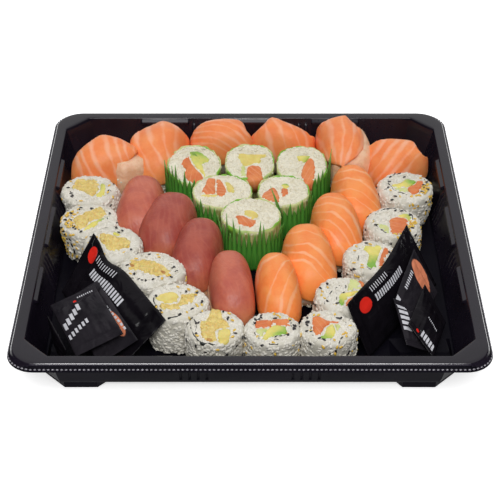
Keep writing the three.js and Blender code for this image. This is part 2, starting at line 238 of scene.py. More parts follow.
def mixColour(tree, factor, a, b):
    return add(tree, "ShaderNodeMix", {"Factor": factor, 6: a, 7: b}, data_type="RGBA").outputs[2]


def noiseOf(tree, vector, scale, detail=3.0, roughness=0.55):
    return add(tree, "ShaderNodeTexNoise",
               {"Vector": vector, "Scale": scale, "Detail": detail, "Roughness": roughness}).outputs["Fac"]


# Colour of a display value, 0 to 255.
def tint(r, g, b):
    shares = [c / 255 for c in (r, g, b)]
    return tuple(((c + 0.055) / 1.055) ** 2.4 if c > 0.0404 else c / 12.92 for c in shares) + (1.0,)


def newGroup(name, inputs, outputs):
    tree = bpy.data.node_groups.new(name, "ShaderNodeTree")
    for direction, sockets in (("INPUT", inputs), ("OUTPUT", outputs)):
        for label, kind, *start in sockets:
            made = tree.interface.new_socket(label, in_out=direction, socket_type="NodeSocket" + kind)
            if start:
                made.default_value = start[0]
    return tree, tree.nodes.new("NodeGroupInput").outputs, tree.nodes.new("NodeGroupOutput").inputs


def useGroup(tree, group, inputs):
    return add(tree, "ShaderNodeGroup", inputs, node_tree=group).outputs


# A piece's own map, whole and as its two parts.
def ownMap(tree):
    own = add(tree, "ShaderNodeUVMap", uv_map="UVMap").outputs[0]
    return own, add(tree, "ShaderNodeSeparateXYZ", {0: own}).outputs


def attribute(tree, name):
    return add(tree, "ShaderNodeAttribute", attribute_name=name).outputs["Fac"]


# Long streaks: noise stretched by a scale of the piece's own map.
def streaks(tree, own, scale, detail):
    stretched = add(tree, "ShaderNodeVectorMath", {0: own, 1: scale}, operation="MULTIPLY")
    return noiseOf(tree, stretched.outputs[0], 1.0, detail)


def newMaterial(name, **values):
    material = bpy.data.materials.new(name)
    material.use_nodes = True
    tree = material.node_tree
    tree.nodes.clear()
    shader = tree.nodes.new("ShaderNodeBsdfPrincipled")
    output = tree.nodes.new("ShaderNodeOutputMaterial")
    tree.links.new(shader.outputs[0], output.inputs["Surface"])
    names = {"colour": "Base Color", "roughness": "Roughness", "coat": "Coat Weight",
             "coatRoughness": "Coat Roughness", "scatter": "Subsurface Weight",
             "specular": "Specular IOR Level"}
    for key, value in values.items():
        shader.inputs[names[key]].default_value = value
    if "scatter" in values:
        shader.inputs["Subsurface Radius"].default_value = (0.004, 0.002, 0.001)
        shader.inputs["Subsurface Scale"].default_value = 0.5
    return material, tree, shader


# Colour and relief of a material, the relief also in its coat where it has one.
def dress(tree, shader, colour, height, distance, strength=1.0):
    tree.links.new(colour, shader.inputs["Base Color"])
    bump = add(tree, "ShaderNodeBump", {"Height": height, "Distance": distance, "Strength": strength})
    tree.links.new(bump.outputs[0], shader.inputs["Normal"])
    if shader.inputs["Coat Weight"].default_value > 0:
        tree.links.new(bump.outputs[0], shader.inputs["Coat Normal"])


def place(tree):
    return tree.nodes.new("ShaderNodeTexCoord").outputs["Object"]


# Two colours in soft patches, with finer variation over them, and a height that follows.
mottle, given, result = newGroup(
    "mottle",
    [("Vector", "Vector"), ("Light", "Color"), ("Dark", "Color"), ("Scale", "Float", 200.0),
     ("Fine", "Float", 900.0)],
    [("Colour", "Color"), ("Height", "Float"), ("Mask", "Float")])
broad = noiseOf(mottle, given["Vector"], given["Scale"])
fine = noiseOf(mottle, given["Vector"], given["Fine"], 2.0)
patches = spread(mottle, broad, 0.35, 0.65)
both = maths(mottle, "ADD", maths(mottle, "MULTIPLY", patches, 0.65), maths(mottle, "MULTIPLY", fine, 0.35))
mottle.links.new(mixColour(mottle, both, given["Dark"], given["Light"]), result["Colour"])
mottle.links.new(both, result["Height"])
mottle.links.new(patches, result["Mask"])

# A soft-edged line at every whole number of the phase, its width and strength varying.
stripes, given, result = newGroup(
    "stripes",
    [("Vector", "Vector"), ("Phase", "Float"), ("Width", "Float", 0.2), ("Soft", "Float", 0.12)],
    [("Mask", "Float")])
sway = maths(stripes, "SUBTRACT", noiseOf(stripes, given["Vector"], 110.0), 0.5)
phase = maths(stripes, "ADD", given["Phase"], maths(stripes, "MULTIPLY", sway, 0.4))
part = maths(stripes, "FRACT", maths(stripes, "ADD", phase, 0.5))
away = maths(stripes, "ABSOLUTE", maths(stripes, "SUBTRACT", part, 0.5))
vary = spread(stripes, noiseOf(stripes, given["Vector"], 60.0, 1.0), 0.3, 0.7, 0.55, 1.35)
width = maths(stripes, "MULTIPLY", given["Width"], vary)
narrow = maths(stripes, "SUBTRACT", width, given["Soft"])
stripes.links.new(spread(stripes, away, width, narrow), result["Mask"])

# One print shape in map coordinates: an ellipse, or a bar with square ends.
printShape, given, result = newGroup(
    "printShape",
    [("Map", "Vector"), ("Across", "Float"), ("Up", "Float"), ("Half Width", "Float", 0.1),
     ("Half Height", "Float", 0.1), ("Square", "Float", 0.0)],
    [("Mask", "Float")])
parts = add(printShape, "ShaderNodeSeparateXYZ", {0: given["Map"]}).outputs
off = []
for part, middle, half in (("X", "Across", "Half Width"), ("Y", "Up", "Half Height")):
    apart = maths(printShape, "SUBTRACT", parts[part], given[middle])
    off.append(maths(printShape, "ABSOLUTE", maths(printShape, "DIVIDE", apart, given[half])))
squares = [maths(printShape, "MULTIPLY", one, one) for one in off]
circle = maths(printShape, "SQRT", maths(printShape, "ADD", *squares))
square = maths(printShape, "MAXIMUM", *off)
edge = add(printShape, "ShaderNodeMix", {"Factor": given["Square"], 2: circle, 3: square}).outputs[0]
printShape.links.new(spread(printShape, edge, 1.05, 0.95), result["Mask"])


# The two colours of a look, mottled over the piece.
def mottled(tree, light, dark, scale, fine=900.0):
    return useGroup(tree, mottle, {"Vector": place(tree), "Light": tint(*light), "Dark": tint(*dark),
                                   "Scale": scale, "Fine": fine})


def riceLook(name, light, dark, grains):
    material, tree, shader = newMaterial(name, roughness=0.5, specular=0.3)
    made = mottled(tree, light, dark, 130.0)
    colour = made["Colour"]
    if grains:
        pale = spread(tree, attribute(tree, "tone"), 0.0, 1.0, 0.0, 0.45)
        colour = mixColour(tree, pale, colour, tint(*light))
    dress(tree, shader, colour, made["Height"], 0.0003, 0.4)
    return material


riceWhite = riceLook("riceWhite", (231, 227, 217), (214, 209, 195), True)
# The base under the grains is a little darker than the grains: painted shade in the gaps between them.
riceShadedBase = riceLook("riceShadedBase", (221, 217, 205), (203, 198, 183), False)
riceWarm = riceLook("riceWarm", (236, 231, 213), (220, 213, 191), True)
riceWarmShadedBase = riceLook("riceWarmShadedBase", (229, 222, 201), (212, 204, 179), False)


def plainLook(name, light, dark, scale, fine, relief, **values):
    material, tree, shader = newMaterial(name, **values)
    made = mottled(tree, light, dark, scale, fine)
    dress(tree, shader, made["Colour"], made["Height"], relief)
    return material


omelette = plainLook("omelette", (238, 216, 140), (218, 186, 100), 330, 1500, 0.0008,
                     roughness=0.5, scatter=0.3)
omeletteSmooth = plainLook("omeletteSmooth", (232, 216, 130), (216, 194, 100), 120, 900, 0.0003,
                           roughness=0.45, scatter=0.3)
browned = plainLook("browned", (214, 164, 92), (166, 104, 46), 420, 1500, 0.0008, roughness=0.5)
cucumberFlesh = plainLook("cucumberFlesh", (216, 218, 150), (196, 204, 122), 160, 900, 0.0002,
                          roughness=0.32, scatter=0.4, coat=0.4, coatRoughness=0.15)
herbGreen = plainLook("herbGreen", (150, 178, 78), (96, 138, 46), 220, 900, 0.0006,
                      roughness=0.45, scatter=0.2)
nori = plainLook("nori", (40, 44, 42), (18, 20, 22), 300, 1600, 0.0004, roughness=0.45)
sesameBlack = plainLook("sesameBlack", (50, 46, 48), (26, 24, 26), 500, 2000, 0.0001, roughness=0.35)
sesameGolden = plainLook("sesameGolden", (244, 206, 92), (222, 170, 56), 500, 2000, 0.0001,
                         roughness=0.4, scatter=0.2)


# Green at one side of the slice, by the attribute that its outline was given.
def avocadoLook():
    material, tree, shader = newMaterial("avocado", roughness=0.4, scatter=0.3, coat=0.25, coatRoughness=0.25)
    made = mottled(tree, (236, 222, 124), (216, 206, 98), 120.0)
    uneven = maths(tree, "MULTIPLY", maths(tree, "SUBTRACT", made["Height"], 0.5), 0.35)
    part = spread(tree, maths(tree, "ADD", attribute(tree, "green"), uneven), 0.35, 1.0)
    colour = mixColour(tree, part, made["Colour"], tint(126, 176, 52))
    dress(tree, shader, colour, made["Height"], 0.0003)
    return material


avocado = avocadoLook()


# Raw fish: flesh and pale lines that follow the phase kept in the piece's own map.
def fishLook(name, deep, light, line, amount, width, soft, edge=None, **values):
    material, tree, shader = newMaterial(name, **values)
    parts = ownMap(tree)[1]
    where = place(tree)
    inputs = {"Vector": where, "Phase": parts["X"], "Width": width, "Soft": soft}
    mask = useGroup(tree, stripes, inputs)["Mask"]
    flesh = mottled(tree, light, deep, 75.0, 600.0)
    strength = spread(tree, noiseOf(tree, where, 45.0, 2.0), 0.25, 0.6, 0.45, 1.0)
    lines = maths(tree, "MULTIPLY", maths(tree, "MULTIPLY", mask, strength), amount)
    body = flesh["Colour"]
    # Towards the foot of the slice the flesh turns to the edge colour: painted shade, a deeper orange, on
    # salmon, and on tuna a lighter orange painted for light through its thin edge.
    if edge:
        level = maths(tree, "ADD", parts["Y"], maths(tree, "MULTIPLY", flesh["Mask"], -0.15))
        body = mixColour(tree, spread(tree, level, 0.62, 0.22, 0.0, 0.8), body, tint(*edge))
    height = maths(tree, "SUBTRACT", flesh["Height"], maths(tree, "MULTIPLY", mask, 0.2))
    height = maths(tree, "ADD", height, maths(tree, "MULTIPLY", noiseOf(tree, where, 1300.0, 1.0), 0.25))
    dress(tree, shader, mixColour(tree, lines, body, tint(*line)), height, 0.0003)
    return material


# The colour after the line settings tints the foot of each slice: painted shade on salmon, painted light
# through the thin edge on tuna.
salmon = fishLook("salmon", (250, 136, 66), (255, 160, 90), (255, 202, 164), 0.54, 0.2, 0.18, (252, 154, 74),
                  roughness=0.4, scatter=0.3, specular=0.32)
salmonBack = fishLook("salmonBack", (246, 136, 76), (253, 158, 98), (255, 198, 168), 0.54, 0.3, 0.3,
                      (248, 156, 90), roughness=0.45, scatter=0.3, specular=0.3)
salmonCut = fishLook("salmonCut", (212, 112, 60), (230, 142, 84), (236, 172, 130), 0.4, 0.2, 0.2,
                     roughness=0.45, scatter=0.3, specular=0.35)
tuna = fishLook("tuna", (156, 66, 58), (180, 92, 74), (206, 130, 106), 0.14, 0.25, 0.25, (200, 120, 80),
                roughness=0.42, scatter=0.25, specular=0.35)
tunaPale = fishLook("tunaPale", (182, 88, 74), (204, 114, 88), (218, 146, 120), 0.14, 0.25, 0.25,
                    (216, 138, 96), roughness=0.4, scatter=0.25, specular=0.4)
fishPale = plainLook("fishPale", (244, 206, 172), (228, 172, 132), 160, 900, 0.0004,
                     roughness=0.45, scatter=0.2)


# Peeled cucumber: pale and streaked on the side, green along the upper edge.
def wrapLook():
    material, tree, shader = newMaterial("cucumberWrap", roughness=0.4, scatter=0.3, specular=0.35)
    own, parts = ownMap(tree)
    lines = streaks(tree, own, (90.0, 3.0, 1.0), 4.0)
    body = mixColour(tree, spread(tree, lines, 0.35, 0.65), tint(146, 150, 84), tint(210, 206, 150))
    patch = noiseOf(tree, place(tree), 55.0, 1.0)
    body = mixColour(tree, spread(tree, patch, 0.5, 0.62), body, tint(84, 122, 48))
    level = maths(tree, "ADD", parts["Y"], maths(tree, "MULTIPLY", maths(tree, "SUBTRACT", lines, 0.5), 0.05))
    rimColour = mixColour(tree, spread(tree, patch, 0.46, 0.6), tint(206, 212, 152), tint(128, 186, 60))
    colour = mixColour(tree, spread(tree, level, 0.87, 0.95), body, rimColour)
    dress(tree, shader, colour, lines, 0.0005)
    return material


cucumberWrap = wrapLook()


# Green plastic, darker low down and paler at the tips, with painted shade in the gaps between the blades.
def grassLook():
    material, tree, shader = newMaterial("grassPlastic", roughness=0.42, scatter=0.1, specular=0.35)
    own, parts = ownMap(tree)
    lines = streaks(tree, own, (9.0, 2.0, 1.0), 3.0)
    body = mixColour(tree, spread(tree, parts["Y"], 0.1, 0.6), tint(56, 130, 42), tint(84, 164, 62))
    tips = mixColour(tree, spread(tree, parts["Y"], 0.6, 1.1), body, tint(118, 180, 92))
    colour = mixColour(tree, spread(tree, lines, 0.4, 0.7, 0.0, 0.55), tips, tint(112, 172, 70))
    # Painted shade in the gaps between the blades, stronger higher up where they stand apart.
    mask = useGroup(tree, stripes, {"Vector": own, "Phase": parts["X"], "Width": 0.3, "Soft": 0.24})["Mask"]
    paintedGapShade = maths(tree, "MULTIPLY", mask, spread(tree, parts["Y"], 0.2, 0.62, 0.1, 0.75))
    dress(tree, shader, mixColour(tree, paintedGapShade, colour, tint(30, 84, 24)), lines, 0.0005)
    return material


grassPlastic = grassLook()


def trayLook():
    material, tree, shader = newMaterial("trayPlastic", roughness=0.2, specular=0.38)
    made = mottled(tree, (30, 25, 36), (20, 16, 25), 14.0, 240.0)
    tree.links.new(spread(tree, made["Height"], 0.2, 0.8, 0.14, 0.3), shader.inputs["Roughness"])
    dress(tree, shader, made["Colour"], made["Height"], 0.00012, 0.4)
    return material


trayPlastic = trayLook()
# Painted shade: a darker, duller plastic for the back of the sheet, the feet, the outside of the lip and the
# corners.
trayPaintedShade = plainLook("trayPaintedShade", (17, 15, 23), (11, 10, 16), 14, 240, 0.0001, roughness=0.4, specular=0.03)
# A glossier plastic in a lighter colour: real gloss with a painted highlight, for two of the lugs and the
# bend of the lip.
trayPaintedHighlight = plainLook("trayPaintedHighlight", (52, 48, 58), (38, 34, 44), 14, 240, 0.0001, roughness=0.2,
                      specular=1.0, coat=0.6, coatRoughness=0.15)
# A light grey, glossy plastic: a painted highlight along the knurls of the lip.
beadPaintedHighlight = plainLook("beadPaintedHighlight", (122, 118, 128), (88, 84, 94), 300, 900, 0.0, roughness=0.22,
                        specular=1.0, coat=1.0, coatRoughness=0.15)


# A row of plain strokes, from its first end: across, up, length, how many, half height and how full it is.
def printRow(across, up, length, count, halfHeight, full):
    pitch = length / count
    return [(across + (i + 0.5) * pitch, up, 0.5 * full * pitch, halfHeight) for i in range(count)]


# Print on the film. Every shape is across, up, half width and half height in the sachet's own map.
filmPrints = {
    "largeLeft": {"red": [(0.105, 0.21, 0.05, 0.12)], "fish": [],
                  "white": printRow(0.165, 0.13, 0.27, 10, 0.05, 0.3)
                  + printRow(0.2, 0.33, 0.44, 14, 0.065, 0.6)},
    "largeRight": {"red": [(0.83, 0.26, 0.06, 0.125)], "fish": [],
                   "white": printRow(0.49, 0.12, 0.24, 9, 0.045, 0.3)
                   + printRow(0.32, 0.29, 0.4, 14, 0.06, 0.6)},
    "panelLeft": {"red": [], "fish": [(0.66, 0.2, 0.2, 0.14)],
                  "white": [(0.3 + 0.06 * i, 0.17 - 0.01 * i, 0.02, 0.026) for i in range(9)]
                  + printRow(0.06, 0.2, 0.15, 3, 0.07, 0.6)},
    "panelRight": {"red": [(0.97, 0.2, 0.02, 0.03)], "fish": [(0.2, 0.42, 0.17, 0.36)],
                   "white": [(0.93, 0.09, 0.05, 0.07)] + printRow(0.34, 0.14, 0.36, 8, 0.04, 0.5)},
    "strokesRight": {"red": [], "fish": [], "white": printRow(0.1, 0.2, 0.6, 5, 0.15, 0.62)},
    "smallLeft": {"red": [(0.13, 0.51, 0.025, 0.035)], "fish": [],
                  "white": [(0.27 + 0.055 * i, 0.49 + 0.1 * i, 0.06, 0.036) for i in range(5)]
                  + [(0.56 + 0.025 * i, 0.46 + 0.09 * i, 0.04, 0.026) for i in range(6)]
                  + [(0.08, 0.1 + 0.045 * i, 0.012, 0.011) for i in range(8)]},
    "smallRight": {"red": [(0.9, 0.3, 0.03, 0.05)], "fish": [],
                   "white": [(0.86, 0.46 + 0.1 * i, 0.055, 0.034) for i in range(5)]
                   + [(0.5, 0.42 + 0.05 * i, 0.016, 0.014) for i in range(8)]},
    "scrapLeft": {"red": [(0.05, 0.14, 0.03, 0.05)], "fish": [],
                  "white": [(0.1 + 0.045 * i, 0.1, 0.012, 0.03) for i in range(5)]
                  + printRow(0.78, 0.62, 0.16, 4, 0.05, 0.5)},
    "plain": {"red": [], "white": [], "fish": []},
}
# Printed one over another in this order.
inks = {"fish": tint(216, 132, 98), "white": tint(206, 206, 212), "red": tint(222, 44, 34)}


def filmLook(name, layout):
    material, tree, shader = newMaterial(name, roughness=0.14, specular=0.1)
    own = ownMap(tree)[0]
    # The panel and small sachets have a lighter grey film; on the small left sachet part of this grey is a
    # painted sheen from above.
    grey = name in ("filmPanelLeft", "filmPanelRight", "filmSmallLeft", "filmStrokesRight")
    light, dark = ((46, 43, 48), (26, 24, 29)) if grey else ((22, 19, 24), (13, 11, 15))
    colour = mottled(tree, light, dark, 40.0, 500.0)["Colour"]
    for ink, inkColour in inks.items():
        for across, up, halfWidth, halfHeight in layout[ink]:
            inputs = {"Map": own, "Across": across, "Up": up, "Half Width": halfWidth,
                      "Half Height": halfHeight, "Square": float(ink == "white")}
            colour = mixColour(tree, useGroup(tree, printShape, inputs)["Mask"], colour, inkColour)
    inputs = {"Vector": place(tree), "Scale": 55.0, "Detail": 2.0, "Distortion": 1.6}
    creases = add(tree, "ShaderNodeTexNoise", inputs).outputs["Fac"]
    dress(tree, shader, colour, creases, 0.0022, 0.7)
    return material


filmLooks = {name: filmLook("film" + name[0].upper() + name[1:], layout)
             for name, layout in filmPrints.items()}
print("materials made")

# The tray: one formed sheet from the feet up to the lip, then given its thickness.
# The lip is listed by how far it lies inside the outermost edge, its height and its bend.
tray = {"half": 150.0, "height": 35.0, "film": 0.9, "flangeInner": 140.6, "footHalf": 130.5,
        "footHeight": 5.5, "footInner": 96.4, "baseCut": 13.2, "mouthCut": 16.3, "round": 18.0,
        "lip": [(3.0, 35.0, 1.1), (2.0, 33.0, 0.5), (0.4, 31.0, 0.4), (0.0, 30.0, 0)],
        "lugs": [(-84, -47), (-23, 23), (47, 84)], "lugEnd": 0.9, "lugDepth": 2.0,
        "lugBottom": (29.9, 30.8), "lugTop": (32.4, 33.7),
        "flutes": [g + o for g in (-35, 35) for o in (-8.2, -2.7, 2.7, 8.2)],
        "fluteHalf": 1.52, "fluteDepth": 1.3, "fluteBottom": (8.9, 10.4), "fluteTop": (29.2, 31.2),
        "cornerSteps": 12}
floorTop = tray["footHeight"] + tray["film"]


def wallHalf(z):
    return tray["footHalf"] + (tray["flangeInner"] - tray["footHalf"]) * z / (tray["height"] - tray["film"])


# A level is half width, corner cut, how round the corner is, and height.
def trayLevels():
    film, cut, mouth = tray["film"], tray["baseCut"], tray["mouthCut"]
    corners = [((wallHalf(floorTop) - film - 4.0, cut, 0, floorTop), 0),
               ((wallHalf(floorTop) - film, cut, 0, floorTop), 1.5)]
    corners += [((wallHalf(z) - film, cut, 0, z), 0) for z in (9.0, 10.4)]
    corners += [((wallHalf(z) - film, mouth, 0, z), 0) for z in (29.3, 30.0, 30.8, 32.4, 33.6)]
    corners += [((tray["flangeInner"] - 0.5, mouth, 0.08, tray["height"]), 0.8)]
    corners += [((tray["half"] - inset, tray["round"], 1, z), bend) for inset, z, bend in tray["lip"]]
    levels = []
    for i, (corner, bend) in enumerate(corners):
        here = np.array(corner, float)
        if not bend:
            levels.append(here)
            continue
        before, after = (np.array(corners[i + k][0], float) - here for k in (-1, 1))
        starts = [here + d * min(0.45, bend / hypot(d[0], d[3])) for d in (before, after)]
        for t in (0.0, 0.25, 0.5, 0.75, 1.0):
            levels.append((1 - t) ** 2 * starts[0] + 2 * t * (1 - t) * here + t * t * starts[1])
    return levels


# The grid's columns all the way round: round each corner, then along the side where its forms begin and end.
def trayColumns():
    steps = tray["cornerSteps"]
    sides = {110.0, 103.0, tray["footInner"], 90.0, 70.0, 12.0}
    for flute in tray["flutes"]:
        sides |= {abs(flute) + k * tray["fluteHalf"] for k in (-1, -0.4, 0.4, 1)}
    for low, high in tray["lugs"]:
        sides |= {abs(x) for x in (low, low + tray["lugEnd"], high - tray["lugEnd"], high)}
    along = [("side", x) for x in sorted(sides, reverse=True) + [-x for x in sorted(sides)]]
    return [(quarter, *column) for quarter in range(4)
            for column in [("corner", i / steps) for i in range(steps + 1)] + along]


levels = trayLevels()
columns = trayColumns()


def trayPoint(column, level):
    quarter, kind, value = column
    half, cut, roundness, z = level
    if kind == "corner":
        angle = value * pi / 2
        straight = (half - cut * value, half - cut * (1 - value))
        arc = (half - cut * (1 - cos(angle)), half - cut * (1 - sin(angle)))
        x, y = (lerp(straight[k], arc[k], roundness) for k in (0, 1))
    else:
        x, y = value, half
        if half < tray["flangeInner"]:
            near = min(abs(value - flute) for flute in tray["flutes"])
            rise = smoothStep(*tray["fluteBottom"], z) * (1 - smoothStep(*tray["fluteTop"], z))
            y -= tray["fluteDepth"] * rise * clamp(1.25 - 1.25 * near / tray["fluteHalf"])
            end = tray["lugEnd"]
            on = max(clamp((value - low) / end) * clamp((high - value) / end) for low, high in tray["lugs"])
            y -= tray["lugDepth"] * on * ramp(*tray["lugBottom"], z) * (1 - ramp(*tray["lugTop"], z))
    return (*turned(x, y, -90 * quarter), z)


# Where a foot's inner outline runs for this column, by its share of the way round the foot.
def footPoint(column, half, cut, near, z):
    quarter, kind, value = column
    inner, slope = tray["footInner"], cut * sqrt(2)
    reach = half - cut - inner
    total = 2 * reach + slope
    if kind == "side" and value < 0:
        x, y = -near, lerp(half, near, 2 * (-value - inner) / total)
    else:
        way = (reach + value * slope) / total if kind == "corner" else 1 - (value - inner) / total
        x, y = (lerp(half, near, 2 * way), near) if way < 0.5 else (near, lerp(near, half, 2 * way - 1))
    return (*turned(x, y, -90 * quarter), z)


def inFoot(column):
    return column[1] == "corner" or abs(column[2]) >= tray["footInner"]


# The floor's rings sink into the feet and pass straight between them.
bm = bmesh.new()
base = levels[0]
rings = []
footFloor = tray["film"]
wallFoot = (wallHalf(1.2) - tray["film"] - 0.3, tray["baseCut"], 0, 1.2)
footEdge = (wallHalf(footFloor) - tray["film"] - 1.4, tray["baseCut"], 0, footFloor)
for kind in ("rim", "pit", "edge", "wall"):
    ring = []
    for column in columns:
        if not inFoot(column):
            ring.append(trayPoint(column, base))
        elif kind == "rim":
            ring.append(footPoint(column, base[0], base[1], tray["footInner"] - 6.4, floorTop))
        elif kind == "pit":
            ring.append(footPoint(column, footEdge[0], footEdge[1], tray["footInner"] + 0.9, footFloor))
        else:
            ring.append(trayPoint(column, footEdge if kind == "edge" else wallFoot))
    rings.append(ring)
for level in levels[1:]:
    rings.append([trayPoint(column, level) for column in columns])

count, depth = len(columns), len(rings)
mapped(bm, count, depth - 1, lambda u, v: rings[round(v * (depth - 1))][round(u * count) % count])
rim = [edge for edge in openEdges(bm) if all(abs(vert.co.z - floorTop) < 0.01 for vert in edge.verts)]
bmesh.ops.contextual_create(bm, geom=rim)
bmesh.ops.recalc_face_normals(bm, faces=bm.faces)

# Painted shade, a darker and duller colour, on the feet, the outside of the lip and the corners, and a
# painted highlight, a lighter and glossier colour, where light catches two of the lugs and the bend of the
# lip.
paintedShadeAndShine = {"footTop": 8.0, "lipTop": 34.0, "lipFrom": 147.5, "cornerReach": 16.5, "lugs": tray["lugs"][:2],
         "lugFrom": 32.5, "lugWall": (130, 142), "bend": (33.4, 34.95), "bendFrom": 146.7}
turnMiddle = tray["half"] - tray["round"]
for face in bm.faces:
    x, y, z = face.calc_center_median()
    small, large = sorted((abs(x), abs(y)))
    onCorner = small > turnMiddle and hypot(small - turnMiddle, large - turnMiddle) > paintedShadeAndShine["cornerReach"]
    if z < paintedShadeAndShine["footTop"] or z < paintedShadeAndShine["lipTop"] and large > paintedShadeAndShine["lipFrom"] or onCorner:
        face.material_index = 2
    onLug = any(low + 0.5 < x < high - 0.5 for low, high in paintedShadeAndShine["lugs"])
    if onLug and paintedShadeAndShine["lugFrom"] < z < paintedShadeAndShine["lipTop"] and paintedShadeAndShine["lugWall"][0] < y < paintedShadeAndShine["lugWall"][1]:
        face.material_index = 1
    if paintedShadeAndShine["bend"][0] < z < paintedShadeAndShine["bend"][1] and large > paintedShadeAndShine["bendFrom"]:
        face.material_index = 1
middle = max(bm.faces, key=lambda face: face.calc_area())
if middle.normal.z < 0:
    bmesh.ops.reverse_faces(bm, faces=bm.faces)
bmesh.ops.triangulate(bm, faces=[middle])
for edge in bm.edges:
    edge.smooth = edge.calc_face_angle(0) < 0.5
trayLooks = [trayPlastic, trayPaintedHighlight, trayPaintedShade]
trayPiece = finishPiece(bm, "trayBody", ["tray"], trayLooks, "tray_plastic", orient=False)
thicken = trayPiece.modifiers.new("thickness", "SOLIDIFY")
thicken.thickness = tray["film"] * mm
thicken.offset = -1
thicken.use_even_offset = True
# The back of the sheet takes the painted shade too.
thicken.material_offset = 2
thicken.use_quality_normals = True

# Small round knurls along the bottom of the lip, on one side and its corner, four times, their light colour a
# painted highlight.
bm = bmesh.new()
bmesh.ops.create_icosphere(bm, subdivisions=1, radius=1)
knob = meshFrom("knob", bm)
knurls = {"pitch": 2.7, "inset": 0.7, "z": 31.7, "size": (1.15, 0.5, 0.6)}
straight = int(2 * turnMiddle / knurls["pitch"])
onArc = int(tray["round"] * pi / 2 / knurls["pitch"])
reach = tray["round"] - knurls["inset"]
side = [(turnMiddle * (2 * (i + 0.5) / straight - 1), turnMiddle + reach, 90) for i in range(straight)]
for i in range(onArc):
    facing = 90 * (i + 0.5) / onArc
    x, y = reach * cos(radians(facing)), reach * sin(radians(facing))
    side.append((turnMiddle + x, turnMiddle + y, facing))
places, turns = [], []
for quarter in range(4):
    for x, y, facing in side:
        places.append((*turned(x, y, 90 * quarter), knurls["z"]))
        a = radians(facing + 90 * (1 - quarter))
        turns.append(np.array([[cos(a), -sin(a), 0], [sin(a), cos(a), 0], [0, 0, 1]]))
joinedCopies("lipKnurls", knob, places, turns, [knurls["size"]] * len(places), ["tray"], beadPaintedHighlight,
             "tray_plastic")
print("tray made")

# Sachets by their four corners; s runs from the first corner to the second, t to the fourth.
# sag is the depth, middle and width of a dip in the upper edge, in shares of the sides.
leftSachets = [
    {"film": "largeLeft", "fill": 3.6, "sag": (0.1, 0.25, 0.13),
     "corners": [(-105, -26, 45), (-53, -107, 36), (-84, -127, 9.5), (-127, -45, 9.5)]},
    {"film": "panelLeft", "fill": 2.4,
     "corners": [(-100, -64.5, 34.5), (-70, -118, 29), (-95, -122, 12), (-124, -70, 20)]},
    {"film": "smallLeft", "fill": 2.6,
     "corners": [(-100.5, -76.5, 40), (-79, -118, 34), (-110, -118, 15), (-130, -79, 25)]},
    {"film": "scrapLeft", "fill": 1.4,
     "corners": [(-130, -92, 27), (-115, -124, 26), (-117, -122, 8.5), (-128, -92, 8.5)]},
]
rightSachets = [
    {"film": "largeRight", "fill": 3.6, "sag": (0.1, 0.45, 0.35),
     "corners": [(105.5, -18, 47), (61.5, -96, 40), (75.5, -113, 9.5), (126.5, -38, 10)]},
    {"film": "panelRight", "fill": 2.4,
     "corners": [(109, -40, 42), (93.5, -80.5, 31), (108.5, -94, 13), (125, -57, 18)]},
    {"film": "strokesRight", "fill": 2,
     "corners": [(92, -85, 36), (99, -112, 20), (115, -110, 12), (111, -82, 24)]},
    {"film": "smallRight", "fill": 2.2,
     "corners": [(114, -68, 34), (100.5, -103, 29), (116, -118, 14), (127.5, -84, 15)]},
]

sachets = leftSachets + rightSachets
nameAll(leftSachets, "sachetLeft", "sachet_left", "sachet_film")
nameAll(rightSachets, "sachetRight", "sachet_right", "sachet_film")

# The shown side of a sachet faces up and away from the rolls.
for sachet in sachets:
    a, b, c, d = sachet["corners"] = [Vector(corner) for corner in sachet["corners"]]
    normal = (b - d).cross(c - a).normalized()
    sachet["facing"] = normal if normal.z > 0 else -normal


# Where a sachet acts: shares along and up its sides, and the distances at which it clears or presses rice.
sachetReach = {"along": (-0.08, 1.08), "up": (-0.12, 1.04), "clear": (-3, 16), "press": (0.8, 12)}


# How far a point lies in front of a sachet, or far behind it where the point is beside it.
def beforeSachet(sachet, point):
    a, b, c, d = sachet["corners"]
    along, up, away = b - a, d - a, point - a
    s, t = away.dot(along) / along.length_squared, away.dot(up) / up.length_squared
    (fromS, toS), (fromT, toT) = sachetReach["along"], sachetReach["up"]
    if not (fromS < s < toS and fromT < t < toT):
        return -1000
    return (point - a.lerp(b, s).lerp(d.lerp(c, s), t)).dot(sachet["facing"])


# Rice and seeds that would stand through a sachet are left out.
def throughSachet(point):
    near, far = sachetReach["clear"]
    return any(near < beforeSachet(sachet, point) + sachet["fill"] < far for sachet in sachets)


# Rice under a sachet is pressed back behind it.
def pressedBack(point):
    clearance, deepest = sachetReach["press"]
    for sachet in sachets:
        over = beforeSachet(sachet, point) + 0.7 * sachet["fill"] + clearance
        if 0 < over < deepest:
            point = point - over * sachet["facing"]
    return point


